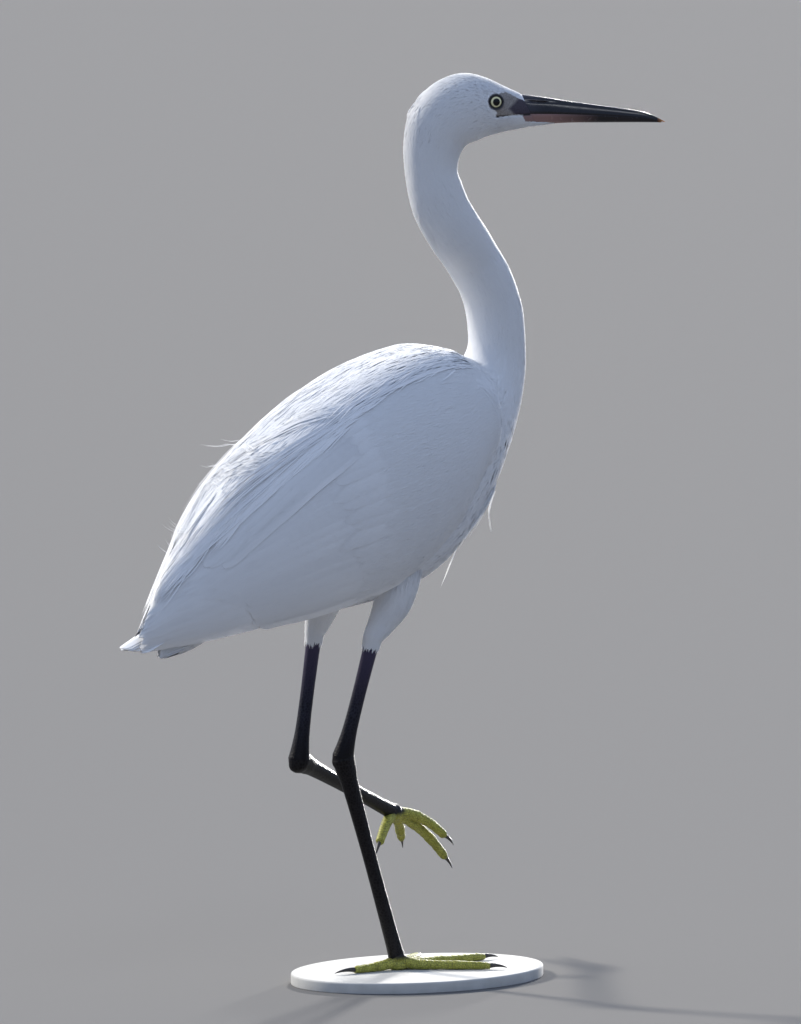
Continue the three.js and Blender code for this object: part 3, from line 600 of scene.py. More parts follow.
skin_points = points_of(skin)
ahead, across, up = head_place(skin_points)
on_face = fade(ahead, -8, -6) * (skin_points[:, 2] > 440)
eye_reach_of = np.full(len(skin_points), 1e9)
for side in (-1, 1):
    _, along, height = eye_offset(skin_points, side)
    eye_reach_of = np.where(across * side > 3, np.hypot(along, height), eye_reach_of)
uneven = 0.22 * np.sin(3.3 * ahead + 1) * np.sin(2.9 * up)
from_mouth = np.abs(up - mouth_height(ahead))
face_numbers = {
    "bare": fade(bare_distance(skin_points) + uneven, 0.4, -0.3) * on_face,
    "towards_bill": fade(ahead - np.abs(up + 3.8), 5.6, 8.4),
    "lower_base": fade(up, -6.9, -7.5) * fade(ahead, 12.5, 13.5),
    "eye_ring": fade(eye_reach_of, 4.7, 4.2),
    "mouth": fade(from_mouth, 0.7, 0.2) * fade(ahead, -1.6, 0) * on_face,
}
for label, values in face_numbers.items():
    add_number(skin, label, values)
print("skin vertices", len(skin_points))


# %% [markdown]
# ## Where a feather sits
# A feather needs a root, the way the coat lies there, and the way out of the body. The grid
# of rings gives all three: walking from ring to ring towards the tail follows the lie.
# The wings have their own surface, and both are asked in the same way.

# %% Places on the skin and on the wings
def blend(grid, row, column):
    """Values between the points of a grid of rings; rows and columns may be fractions."""
    i, j = np.clip(row.astype(int), 0, len(grid) - 2), column.astype(int) % grid.shape[1]
    k = (j + 1) % grid.shape[1]
    s, t = (row - i)[..., None], (column - np.floor(column))[..., None]
    low = grid[i, j] * (1 - t) + grid[i, k] * t
    high = grid[i + 1, j] * (1 - t) + grid[i + 1, k] * t
    return low * (1 - s) + high * s


def skin_at(place, angle, over):
    row = np.interp(place, ring_places, np.arange(skin_rings))
    column = (angle / (2 * math.pi) * skin_sides) % skin_sides
    normal = unit(blend(skin_normals, row, column))
    return blend(skin_grid, row, column) + normal * np.asarray(over)[..., None], normal


def wing_at(x, angle, over, side):
    point = on_wing(x, angle, over, side)
    along = on_wing(x + 0.5, angle, over, side) - on_wing(x - 0.5, angle, over, side)
    around = on_wing(x, angle + 0.01, over, side) - on_wing(x, angle - 0.01, over, side)
    normal = unit(np.cross(around, along))
    outward = normal[..., 1] * side * np.cos(angle) + normal[..., 2] * np.sin(angle)
    return point, normal * np.sign(outward)[..., None]


def skin_map(place, angle):
    """The unwrap of the skin: round the body and along it. Its top is for thighs and tail."""
    u = (np.asarray(angle) / (2 * math.pi)) % 1
    v = np.interp(place, ring_places, ring_lengths) / ring_lengths[-1]
    return np.stack([0.003 + 0.994 * u, 0.003 + 0.80 * v + 0 * u], axis=-1)


trunk_places = np.linspace(0, 9, 60)
trunk_middle = sum(body_point(trunk_places, turn, 0)[:, 0] / 2 for turn in (0.0, math.pi))


def wing_map(x, angle, side):
    place = np.interp(x, trunk_middle, trunk_places)
    return skin_map(place, side * (math.pi / 2 - angle))


around_steps = np.linalg.norm(np.roll(skin_grid, -1, axis=1) - skin_grid, axis=-1)
around_lengths = np.pad(np.cumsum(around_steps, axis=1), ((0, 0), (1, 0)))
along_steps = np.linalg.norm(np.gradient(skin_grid, axis=0), axis=-1)
ring_speed = along_steps / np.gradient(ring_lengths)[:, None]


def scatter(first, last, row_step, column_step, seed):
    """Roots in rows round the body, evenly spaced over the skin and then shaken a little."""
    draw = np.random.default_rng(seed)
    start, end = np.interp([first, last], ring_places, ring_lengths)
    places, angles = [], []
    columns = np.arange(skin_sides + 1) * 2 * math.pi / skin_sides
    for length in np.arange(start, end, row_step):
        ring = int(round(np.interp(length, ring_lengths, np.arange(skin_rings))))
        around = around_lengths[ring]
        count = max(int(around[-1] / column_step), 6)
        shaken = np.arange(count) + draw.uniform(-0.45, 0.45, count) + draw.uniform()
        down = length + row_step * draw.uniform(-0.5, 0.5, count)
        places.append(np.interp(down, ring_lengths, ring_places))
        angles.append(np.interp(shaken / count % 1 * around[-1], around, columns))
    return np.concatenate(places), np.concatenate(angles)


def walk(place, angle, distances, yaw):
    """Places along the lie of the coat, the given distances down from the root."""
    row = np.interp(place, ring_places, np.arange(skin_rings)).astype(int)
    column = (angle / (2 * math.pi) * skin_sides).astype(int) % skin_sides
    speed = np.clip(ring_speed[row, column], 0.3, 4)
    radius = around_lengths[row, -1] / (2 * math.pi)
    length = np.interp(place, ring_places, ring_lengths)[:, None] - distances / speed[:, None]
    angles = angle[:, None] + distances * (yaw / radius)[:, None]
    return np.interp(length, ring_lengths, ring_places), angles


neck_ring = int(skin_rings * 0.6)
print("distance round the neck in mm", round(float(around_lengths[neck_ring, -1]), 1))


# %% [markdown]
# ## One small feather as a lock
# From a step away a small white feather shows only as a slim, slightly raised streak. Each is
# a thin closed body with three edges that runs to a point, which costs sixteen triangles and
# still catches the light as a soft ridge. Its place on the skin's unwrap goes with it, so
# that colours can be kept per feather.

# %% Locks from centre lines
patch_half = 0.0014  # half a tuft's patch on the unwrap
lock_tilt = 0.3  # how far the shading of a lock's edges leans aside


def lock_faces(count, stations):
    """Two slopes and an under side between the stations, then the tip and the root."""
    edges = ((0, 1), (1, 2), (2, 0))
    k = np.arange(stations - 2) * 3
    quads = [np.stack([k + a, k + b, k + b + 3, k + a + 3], axis=-1) for a, b in edges]
    end, tip = (stations - 2) * 3, (stations - 1) * 3
    triangles = np.array([*([end + a, end + b, tip] for a, b in edges), [0, 2, 1]])
    step = np.arange(count) * (tip + 1)
    quads = np.concatenate(quads)[None] + step[:, None, None]
    return [quads.reshape(-1, 4), (triangles[None] + step[:, None, None]).reshape(-1, 3)]


def lock_profile(share, at_root=0.7, at_end=0.8):
    return np.interp(share, [0, 0.3, 0.7, 1], [at_root, 1, at_end, 0])


def make_locks(name, centre, normal, half_width, ridge, roots, seed):
    """centre and normal are (locks, stations, 3); half_width and ridge are (locks, stations).

    The shading normals lean out with the surface and tilt only a little over each lock, so
    that the coat reads as one soft surface with fine streaks.
    """
    count, stations = centre.shape[:2]
    draw = np.random.default_rng(seed)
    along = unit(np.gradient(centre, axis=1))
    side = unit(np.cross(normal, along))
    out = unit(np.cross(along, side) * 0.5 + normal * 0.5)
    wide, high = side * half_width[..., None], out * ridge[..., None]
    edge = np.stack([centre + wide, centre + high, centre - wide], axis=2)[:, :-1]
    points = np.concatenate([edge.reshape(count, -1, 3), centre[:, -1:]], axis=1).reshape(-1, 3)
    shown = np.stack([out + lock_tilt * side, out, out - lock_tilt * side], axis=2)[:, :-1]
    shown = unit(np.concatenate([shown.reshape(count, -1, 3), out[:, -1:]], axis=1)).reshape(-1, 3)
    faces = lock_faces(count, stations)
    flips = (np.repeat([1, 1, -1], stations - 2), [1, 1, -1, 1])  # the under side looks in
    shown = [(shown[face] * np.tile(flip, count)[:, None, None]).reshape(-1, 3)
             for face, flip in zip(faces, flips)]
    share = np.linspace(0, 1, stations)
    length = np.linalg.norm(np.diff(centre, axis=1), axis=-1).sum(1)
    along_of = np.append(np.repeat(share[:-1], 3), 1)
    across_of = np.append(np.tile([-1, 0, 1], stations - 1), 0)
    patch = np.stack([across_of, along_of * 2 - 1], axis=-1) * patch_half
    bake = (roots[:, None] + patch[None]).reshape(-1, 2)
    shift = draw.uniform(0, 40, (count, 1, 2))
    lie = np.stack([half_width.max(1)[:, None] * across_of, length[:, None] * along_of], axis=-1)
    tone = np.repeat(draw.uniform(0, 1, count), len(along_of))
    numbers = {"along": np.tile(along_of, count), "tone": tone}
    maps = {"OFBake": bake, "lie": (lie + shift).reshape(-1, 2) / 10}
    return make_piece(name, points, faces, numbers, maps, np.concatenate(shown))


def skin_locks(name, place, angle, length, half_width, seed):
    """Locks on the skin that rise to the height of the coat and follow its lie."""
    draw = np.random.default_rng(seed)
    count = len(place)
    length = length * draw.uniform(0.8, 1.2, count)
    share = np.linspace(0, 1, 4)
    places, angles = walk(place, angle, length[:, None] * share, draw.normal(0, 0.12, count))
    full = coat_depth(place)[:, None]
    rise_of = np.interp(share, [0, 0.3, 0.7, 1], [-0.35, 0.6, 0.85, 0.9])
    over = full * rise_of + draw.normal(0, 0.03, (count, 1)) * full * share
    centre, normal = skin_at(places, angles, over)
    wide = half_width * draw.uniform(0.8, 1.2, count)[:, None] * lock_profile(share)
    return make_locks(name, centre, normal, wide, 0.24 * wide, skin_map(place, angle), seed + 1)


# %% [markdown]
# ## Feathers of the body, neck and head
# The coat is finest on the face and longest on the breast. Four steps of size are enough,
# because the jitter hides where one step meets the next. Feathers are left out where the
# folded wings cover them and on the bare face.

# %% Body, neck and head coats
def wing_cover(points, place):
    x, y, z = points.T
    half_width, middle, half_height = wing_section(x)
    angle = np.degrees(np.arctan2((z - middle) / half_height, np.abs(y) / half_width))
    covered = fade(x, 38, 30) * fade(x, -128, -120) * fade(angle, -42, -34) * fade(angle, 62, 54)
    return covered * (place < neck_start)


def keep_open(place, angle, seed):
    """Leaves out roots under the wings and on the bare face."""
    points, _ = skin_at(place, angle, 0 * place)
    draw = np.random.default_rng(seed)
    keep = wing_cover(points, place) < draw.uniform(0.5, 0.98, len(place))
    keep &= (place <= head_start + 3) | (
        bare_distance(points) > draw.uniform(-0.1, 0.25, len(place)))
    return place[keep], angle[keep]


# part, first and last place, steps down and round the body, length, half width, seed
coat_rows = [
    ["body", 0.2, neck_start - 0.3, 2.5, 1.35, 17, 1.4, 11],
    ["neck_low", neck_start - 1.0, neck_start + 4.6, 1.7, 0.95, 12, 0.95, 21],
    ["neck_high", neck_start + 4.0, head_start + 1.4, 1.4, 0.85, 9.5, 0.8, 31],
    ["head", head_start + 0.8, face_end - 0.02, 0.85, 0.62, 5.2, 0.42, 41],
]
coats = []
for part, first, last, down_step, round_step, length, half_width, seed in coat_rows:
    place, angle = keep_open(*scatter(first, last, down_step, round_step, seed), seed + 1)
    at_bill = fade(place, face_end - 4.5, face_end - 1)
    length, half_width = length - 3.0 * at_bill, (half_width - 0.16 * at_bill)[:, None]
    coats.append(skin_locks("coat_" + part, place, angle, length, half_width, seed + 2))


# %% [markdown]
# ## Vanes of the wings
# Flight feathers and coverts are real vanes: a stiff shaft, a curved web on each side and a
# round or pointed end. Each is a thin closed plate laid on the wing's surface, bent with it,
# and raised over the tier behind. A fine grid is bent by formulas, because a modelled feather
# copied a hundred times would look copied.

# %% One tier of vanes on the wing
def vane_faces(rows, columns):
    """A closed plate: a top and a bottom grid of points, joined round the edge."""
    i, j = np.meshgrid(np.arange(rows - 1), np.arange(columns - 1), indexing="ij")
    a = (i * columns + j).ravel()
    top = np.stack([a, a + 1, a + columns + 1, a + columns], axis=-1)
    under = top[:, ::-1] + rows * columns
    below = rows * columns
    low, high = np.arange(rows - 1) * columns, np.arange(rows - 1) * columns + columns - 1
    left = np.stack([low, low + columns, low + columns + below, low + below], axis=-1)
    right = np.stack([high + below, high + columns + below, high + columns, high], axis=-1)
    first, last = np.arange(columns - 1), np.arange(columns - 1) + (rows - 1) * columns
    start = np.stack([first + below, first + 1 + below, first + 1, first], axis=-1)
    end = np.stack([last, last + 1, last + 1 + below, last + below], axis=-1)
    return np.concatenate([top, under, left, right, start, end])


def vane_shapes(rows, columns, half_width, length, pointed, draw):
    """Shares along and across for every vane, with a worn and slightly uneven edge."""
    count = len(half_width)
    t = np.linspace(0, 1, rows)[None, :, None]
    c = np.linspace(-1, 1, columns)[None, None, :]
    swell = np.interp(t, [0, 0.12, 0.3, 0.7, 1], [0.35, 0.8, 1, 1, 0.72 - 0.5 * pointed])
    sweep = (0.95 + 1.6 * pointed) * half_width[:, None, None] * fade(t, 0.15, 0.95)
    wear = draw.normal(0, 0.03, (count, rows, columns)) * np.abs(c) ** 3 * fade(t, 0.3, 0.9)
    along = t * length[:, None, None] - sweep * c * c
    across = c * half_width[:, None, None] * swell * (1 + wear)
    along = along + draw.normal(0, 0.4, (count, rows, columns)) * fade(t, 0.9, 1) * np.abs(c)
    return t, c, along, across


def gather(parts):
    """Joins points, faces, numbers and maps of several sets into one."""
    starts = np.cumsum([0] + [len(part["points"]) for part in parts])
    faces = [face + start for part, start in zip(parts, starts) for face in part["faces"]]

    def joined(values):
        if isinstance(values[0], dict):
            return {key: joined([value[key] for value in values]) for key in values[0]}
        return np.concatenate(values)

    points, *rest = (joined([part[key] for part in parts])
                     for key in ("points", "numbers", "maps", "normals"))
    return points, faces, *rest


def plate_part(top, under, t, c, across, along, roots, draw, surface=None):
    """A plate from its top and under grid; its shading leans to surface, a smooth way out."""
    count, rows, columns = top.shape[:3]
    points = np.concatenate([top.reshape(count, -1, 3), under.reshape(count, -1, 3)], axis=1)
    out = unit(np.cross(np.gradient(top, axis=2), np.gradient(top, axis=1)))
    out = out * np.sign(np.sum(out * (top - under), axis=-1, keepdims=True))
    shown = out if surface is None else unit(0.35 * out + 0.65 * surface)
    face = vane_faces(rows, columns)
    first, aside, onward = (points[0, face[0, k]] for k in (0, 1, 3))
    if np.dot(np.cross(aside - first, onward - first), out[0, 0, 0]) < 0:
        face = face[:, ::-1]
    out, shown = out.reshape(count, -1, 3), shown.reshape(count, -1, 3)
    step = np.arange(count) * rows * columns * 2
    faces = face[None] + step[:, None, None]
    share = np.broadcast_to(t, (count, rows, columns)).reshape(count, -1)
    width = np.broadcast_to(c, (count, rows, columns)).reshape(count, -1)
    patch = np.stack([width, share * 2 - 1], axis=-1) * patch_half
    shift = draw.uniform(0, 40, (count, 1, 2))
    lie = np.stack([across.reshape(count, -1), along.reshape(count, -1)], axis=-1) + shift
    tone = np.repeat(draw.uniform(0, 1, count), rows * columns * 2)
    return {
        "points": points.reshape(-1, 3),
        "normals": np.concatenate([shown, -out], axis=1).reshape(-1, 3),
        "faces": [faces.reshape(-1, 4)],
        "numbers": {"along": np.tile(share, 2).ravel(), "tone": tone},
        "maps": {
            "OFBake": np.tile(roots[:, None] + patch, (1, 2, 1)).reshape(-1, 2),
            "lie": np.tile(lie, (1, 2, 1)).reshape(-1, 2) / 10,
        },
    }


# how high the dressed wing stands over its surface: X and height, from the tips to the wrist
lift_at = [
    [-200, 0.6], [-120, 2.0], [-60, 2.9], [-10, 2.7], [15, 1.2], [30, -0.6], [41, -3.0], [47, -8.5],
]


def wing_lift(x):
    return np.interp(x, *zip(*lift_at))


def wing_tier(side, seed, count, root_x, tip_x, root_angle, tip_angle, half_width,
              over=(-3.0, -0.6, -0.2, -0.4), rows=12, columns=9, pointed=0.0, bow=0.0,
              shingle=0.3, camber=0.12, thick=0.28, ragged=1.6):
    """A tier on one wing. Pairs give its lowest and its highest feather.

    over is the height at the root, near it, in the middle and at the tip.
    """
    draw = np.random.default_rng(seed)
    share = np.linspace(0, 1, count)
    mix = lambda pair: pair[0] + (pair[1] - pair[0]) * share
    start_x = mix(root_x) + draw.normal(0, 0.8, count)
    end_x = mix(tip_x) + draw.normal(0, ragged, count)
    start_angle = np.radians(mix(root_angle) + draw.normal(0, 0.5, count))
    end_angle = np.radians(mix(tip_angle) + draw.normal(0, 0.8, count))
    wide = mix(half_width) * (1 + draw.normal(0, 0.05, count))
    length = start_x - end_x
    t, c, along, across = vane_shapes(rows, columns, wide, length, pointed, draw)
    x = start_x[:, None, None] - along
    run = along / length[:, None, None]
    angle = start_angle[:, None, None] + (end_angle - start_angle)[:, None, None] * run
    angle = angle + math.radians(bow) * 4 * run * (1 - run)
    half, _, tall = wing_section(x)
    arc = np.hypot(half * np.sin(angle), tall * np.cos(angle))
    angle = angle + np.clip(across / np.maximum(arc, 5), -0.8, 0.8)
    height = np.interp(t, [0, 0.12, 0.55, 1], over) + wing_lift(x)
    height = height + draw.normal(0, 0.05, (count, 1, 1)) * t
    height = height - shingle * c * fade(t, 0, 0.2) + camber * (1 - c * c) * fade(t, 0, 0.2)
    shaft = 0.1 * np.exp(-((c / 0.1) ** 2)) * (1 - t)
    plate = thick * (1 - 0.6 * c * c) * (1 - 0.75 * t)
    top, surface = wing_at(x, angle, height + shaft, side)
    under = on_wing(x, angle, height - plate, side)
    roots = wing_map(start_x, start_angle, side)
    return plate_part(top, under, t, c, across, along, roots, draw, surface)


# %% [markdown]
# The wing is dressed from the tips forward, as a bird's is: the long primaries lie lowest,
# the secondaries over them, then the greater, median and lesser coverts, each tier hiding the
# roots of the one before. On a white bird at rest the tiers are almost invisible, so they
# barely rise. Only the long innermost feathers, the tertials, show as a smooth lobe.

# %% Wing feathers of both sides
def wing_feathers(side, seed, wing_end):
    tiers = [
        # primaries, secondaries, tertials, greater and median coverts
        dict(count=9, root_x=(-88, -96), tip_x=(wing_end + 1, wing_end - 3),
             root_angle=(-44, 16), tip_angle=(-34, 50), half_width=(6.5, 6.5),
             over=(-4.5, -1.4, -0.8, -0.6), rows=18, pointed=0.3),
        dict(count=14, root_x=(-28, -48), tip_x=(-116, -174), root_angle=(-46, 24),
             tip_angle=(-46, 42), half_width=(7.5, 8.5), over=(-3.4, -0.9, -0.4, -0.7), rows=20),
        dict(count=8, root_x=(-46, -58), tip_x=(-142, -156), root_angle=(34, 64),
             tip_angle=(22, 58), half_width=(10, 9), over=(-2.4, -0.4, 0.2, -0.35),
             rows=20, columns=11, bow=5, shingle=0.35, ragged=3.5),
        dict(count=17, root_x=(-10, -34), tip_x=(-58, -94), root_angle=(-48, 56),
             tip_angle=(-47, 54), half_width=(6.5, 7.5), over=(-3.0, -0.6, -0.3, -0.6),
             rows=14, ragged=3.5),
        dict(count=18, root_x=(12, -4), tip_x=(-26, -52), root_angle=(-47, 60),
             tip_angle=(-47, 58), half_width=(6, 6.5), rows=12, ragged=3.5),
    ]
    if side < 0:
        # upper tail coverts bridge the valley between the two wings
        bridge = dict(count=15, root_x=(-108, -108), half_width=(6, 6), rows=14, columns=7)
        tiers = [
            dict(bridge, tip_x=(-189, -189), root_angle=(38, 142), tip_angle=(30, 150),
                 over=(-7, -5.4, -4.6, -4.2)),
            dict(bridge, tip_x=(-180, -180), root_angle=(46, 134), tip_angle=(40, 140),
                 over=(-4.4, -2.6, -1.8, -1.6)),
        ] + tiers
    covert_rows = 5
    for k in range(covert_rows):
        start, low, high = 26 + k * 3.6, 3.2 * k, 4.6 * k
        tiers.append(dict(
            count=22 - k, root_x=(start, start - 10 + 1.6 * k),
            tip_x=(start - 24, start - 36 + 2.2 * k), root_angle=(-45 + low, 64 - high),
            tip_angle=(-46 + low, 62 - high), half_width=(4.6, 5), rows=9, columns=7,
            shingle=0.22, camber=0.08, thick=0.22, ragged=3))
    return gather([wing_tier(side, seed + 31 * i, **tier) for i, tier in enumerate(tiers)])


wings = {name: make_piece("wing_feathers_" + name, *wing_feathers(side, seed, wing_end))
         for name, side, seed, wing_end in (("right", -1, 501, -187), ("left", 1, 907, -178))}


# %% [markdown]
# ## Small feathers of the shoulder and plumes of the back
# At the bend of the wing the coverts turn into a close fine coat, so they are laid as locks.
# From the shoulders a little egret carries long plumes whose side branches never hook
# together: they fall as loose streaks over the wings and out past them. Each streak is one
# long lock. A few longer ones cross the others and stray off the outline.

# %% Locks laid on the wings' surface
def wing_strands(name, start, end, half_width, over, seed, stations, wave=1.6, bow=0.0,
                 ridge=0.5, side=-1, loose=0.5, sink=0.0, lean=(0, 0, 0)):
    """start and end are rows of x and angle in degrees; past 90 they run on over the back."""
    draw = np.random.default_rng(seed)
    count = len(start)
    share = np.linspace(0, 1, stations)[None]
    x = start[:, :1] + (end[:, :1] - start[:, :1]) * share
    swing = np.sin(share * draw.uniform(2, 5, (count, 1)) + draw.uniform(0, 6, (count, 1)))
    angle = start[:, 1:] + (end[:, 1:] - start[:, 1:]) * share + bow * 4 * share * (1 - share)
    angle = angle + wave * swing * share
    height = np.interp(share, np.linspace(0, 1, len(over)), over)
    height = height + draw.normal(0, loose, (count, 1)) * share
    centre, normal = wing_at(x, np.radians(angle), height - sink * share + wing_lift(x), side)
    profile = np.interp(share, [0, 0.15, 0.7, 1], [0.5, 1, 0.75, 0])
    wide = half_width * draw.uniform(0.7, 1.25, (count, 1)) * profile
    roots = wing_map(x[:, 0], np.radians(angle[:, 0]), side)
    return make_locks(name, centre, unit(normal + lean), wide, ridge * wide, roots, seed + 1)


shoulder_low = [[47, -14], [41, -30], [30, -42], [8, -49], [-36, -50]]
shoulder_high = [[47, 26], [41, 48], [30, 62], [8, 68], [-36, 66]]
shoulders = {}
spots = 12200  # locks on each shoulder
for name, side, seed in (("right", -1, 1101), ("left", 1, 1151)):
    draw = np.random.default_rng(seed)
    x = 47.5 - 92 * draw.uniform(0, 1, spots) ** 1.5
    low, high = (np.interp(-x, *zip(*[(-row[0], row[1]) for row in rows]))
                 for rows in (shoulder_low, shoulder_high))
    angle = low + (high - low) * draw.uniform(0, 1, spots)
    reach = 9 + 5 * fade(x, 45, 10)
    start = np.stack([x, angle], axis=-1)
    fanned = angle + draw.normal(0, 1.6, spots) + 0.12 * angle * fade(x, 25, 47)
    end = np.stack([x - reach, fanned], axis=-1)
    shoulders[name] = wing_strands(
        "shoulder_" + name, start, end, 0.85, [-1.1, 0.15, 0.4, 0.5], seed + 1, stations=4,
        wave=0.6, ridge=0.22, side=side, loose=0.08, sink=1.1 * fade(x, 0, -42)[:, None])

# %% [markdown]
# The long plumes of the back start between the shoulders and fall towards the tail. Most
# lie as one even layer of streaks. A few bundles lie across them, as wind leaves them, and a
# small tuft is ruffled up at the bend of the near wing.

# %% Streaks over the back and the crossing plumes
draw = np.random.default_rng(1201)
mantle_count = 3400
mantle_x = draw.uniform(-124, 40, mantle_count)
edge_of = np.interp(mantle_x, [-124, -60, -20, 40], [42, 45, 52, 52])
mantle_angle = 90 + draw.uniform(-1, 1, mantle_count) * (90 - edge_of)
fall = draw.uniform(30, 54, mantle_count) * np.interp(mantle_x, [-124, -60, 40], [1.15, 1, 0.55])
spread = np.interp(mantle_x, [-124, -60, 40], [1.1, 1.06, 1.02])
# the streaks end on a rounded lobe over the rump
lobe_end = -155 + 8 * ((mantle_angle - 90) / 45) ** 2 + draw.uniform(0, 4, mantle_count)
mantle_end = 90 + (mantle_angle - 90) * spread + draw.normal(0, 2.0, mantle_count)
back_streaks = wing_strands(
    "back_streaks", np.stack([mantle_x, mantle_angle], axis=-1),
    np.stack([np.maximum(mantle_x - fall, lobe_end), mantle_end], axis=-1),
    0.58, [-2.6, 0.7, 1.5, 1.8, 1.7], 1202, stations=7, ridge=0.35,
    loose=0.25 - 0.19 * fade(mantle_x, -50, 5)[:, None],
    sink=1.5 * fade(np.abs(mantle_angle - 90), 28, 42)[:, None])

# where bundles of plumes start and end, as X and angle, and how many plumes they have
bundles = [
    ((-118, 52), (-168, 58), 40), ((-122, 62), (-172, 62), 46),
    ((-124, 90), (-174, 88), 46), ((-122, 118), (-176, 112), 40),
    ((-136, 56), (-180, 58), 30), ((-140, 76), (-182, 66), 34),
    ((-146, 58), (-178, 50), 40), ((-146, 92), (-177, 92), 44),
    ((-148, 122), (-176, 126), 40), ((-44, 46), (-128, 112), 34),
    ((-92, 46), (-126, 104), 30), ((-60, 50), (-150, 70), 26),
    ((-80, 134), (-150, 104), 22), ((-104, 50), (-176, 62), 34),
]
starts, ends, sinks = [], [], []
for (x0, a0), (x1, a1), count in bundles:
    wide = 4 if x0 < -110 else 2.5
    starts.append(np.stack([draw.normal(x0, 6, count), draw.normal(a0, wide, count)], axis=-1))
    reached = np.maximum(draw.normal(x1, 5, count), -180)
    ends.append(np.stack([reached, draw.normal(a1, 6, count)], axis=-1))
    sinks.append(np.full((count, 1), 2.2 if x1 < -160 else 0.0))
crossing_plumes = wing_strands(
    "crossing_plumes", np.concatenate(starts), np.concatenate(ends), 0.36,
    [-0.8, 1.6, 2.6, 3.2, 3.6], 1301, stations=14, wave=2.5, bow=-3, ridge=0.8,
    sink=np.concatenate(sinks))

tuft_count = 70
tuft_start = np.stack([draw.uniform(18, 30, tuft_count), draw.normal(38, 3, tuft_count)], axis=-1)
tuft_end = np.stack([draw.normal(44, 2, tuft_count), draw.uniform(4, 24, tuft_count)], axis=-1)
wrist_tuft = wing_strands("wrist_tuft", tuft_start, tuft_end, 0.4, [-0.6, 0.45, 0.7, 0.8], 1351,
                          stations=10, wave=2, bow=10, ridge=0.3, loose=0.2, lean=(-0.2, -0.4, 1.0))


# %% [markdown]
# ## Loose plumes
# A few plumes leave the body: at the breast they hang from its foot, at the nape they hook
# down, and on the back single ones lift off. They are set by a few points each, in
# millimetres, and drawn as thin bundles round these lines.

# %% Bundles round given lines
def bundle(lines, count, spread, half_width, roots, seed, outward=(0, 0, 1)):
    """Strands round lines of points, together at the root and parting towards the tip."""
    draw = np.random.default_rng(seed)
    stations = 10
    centres, maps = [], []
    for line, root in zip(lines, roots):
        curve = curve_through(line, stations)
        share = np.linspace(0, 1, stations)[None, :, None]
        part = draw.normal(0, 1, (count, 1, 3)) * spread * (0.25 + share ** 1.5)
        cut = 1 - 0.35 * draw.uniform(0, 1, (count, 1, 1))
        centres.append(curve[0] + (curve[None] - curve[0]) * (cut + (1 - cut) * (1 - share)) + part)
        maps.append(np.repeat(np.asarray(root)[None], count, axis=0))
    centre = np.concatenate(centres)
    normal = np.cross(np.gradient(centre, axis=1), np.broadcast_to([0, 1.0, 0], centre.shape))
    normal = unit(normal * np.sign(normal @ np.asarray(outward, float))[..., None])
    profile = np.interp(np.linspace(0, 1, stations), [0, 0.3, 0.8, 1], [0.8, 1, 0.6, 0])
    wide = half_width * draw.uniform(0.7, 1.2, (len(centre), 1)) * profile
    return centre, normal, wide, np.concatenate(maps)


def join_bundles(name, bundles_given, seed):
    centre, normal, wide, roots = (np.concatenate(group) for group in zip(*bundles_given))
    return make_locks(name, centre, normal, wide, 0.6 * wide, roots, seed)


breast_lines, breast_roots = [], []
draw = np.random.default_rng(1401)
for turn in np.linspace(-0.8, 0.8, 15):
    place = 6.8 - 0.35 * abs(turn)
    route = [body_point(place - back, math.pi + turn, grow)
             for back, grow in ((0, -3), (0.5, 1.0), (1.0, 1.5))]
    route.append(route[-1] + np.array([-0.7, 0, -0.75]) * draw.uniform(8, 17))
    breast_lines.append(route)
    breast_roots.append(skin_map(place, math.pi + turn))
strays = [
    [[62, 3, 262], [54, 2, 246], [45, 1, 231], [36, 0, 216], [29, 0, 204]],
    [[66, -3, 256], [61, -4, 246], [60, -5, 239], [61, -5, 233]],
]
breast_plumes = join_bundles("breast_plumes", [
    bundle(breast_lines, 9, 1.3, 0.42, breast_roots, 1402, outward=(1, 0, -1)),
    bundle(strays, 4, 0.5, 0.3, [skin_map(6.0, math.pi)] * 2, 1403),
], 1404)

# start and end of the strays on the back: X and Z
back_strays = [
    [-115.7, 292.6, -141.8, 293.3], [-128.4, 282.1, -138.3, 282.2], [-137.6, 274, -144.7, 271.2],
    [-158.1, 242.8, -181.3, 245.4], [-162.3, 235.4, -173.6, 238.4],
]
stray_lines = []
for x0, z0, x1, z1 in back_strays:
    lying = [on_wing(x0 + ahead_of, math.radians(84), over, -1)
             for ahead_of, over in ((48.0, 1.0), (26.0, 4.6), (9.0, 6.0))]
    sagging = [(x0 + x1) / 2, 0.6, (z0 + z1) / 2 - 1.2]
    stray_lines.append(lying + [[x0, 0, z0], sagging, [x1, 0, z1]])
stray_roots = [wing_map(line[0] + 26, math.pi / 2, -1) for line in back_strays]
stray_plumes = join_bundles("stray_plumes", [
    bundle(stray_lines, 4, 0.7, 0.24, stray_roots, 1405)], 1406)

nape_lines, nape_roots = [], []
backward = turned(-1.0, 0.0, 0.0, head_turn) - turned(0.0, 0.0, 0.0, head_turn)
for _ in range(16):
    place = head_start + draw.uniform(2.2, 3.1)
    turn = draw.normal(0, 0.28)
    root, near = body_point(place + 0.3, turn, -0.9), body_point(place, turn, 0.1)
    reach = draw.uniform(5, 9)
    tip = near + backward * 0.42 * reach + [0, 0, -0.9 * reach]
    nape_lines.append([root, near, (near + tip) / 2 + backward * 0.1 * reach, tip])
    nape_roots.append(skin_map(place, turn % (2 * math.pi)))
nape_plumes = join_bundles("nape_plumes", [
    bundle(nape_lines, 4, 0.35, 0.24, nape_roots, 1407, outward=(-1, 0, 0.3))], 1408)


# %% [markdown]
# ## Coats of the thighs
# The trousers of an egret are short silky feathers that run down the thigh and end in a
# frayed edge over the bare shank. Locks are laid on a tube that runs on a little past the
# skin of the thigh, so that their tips lie on the shank.

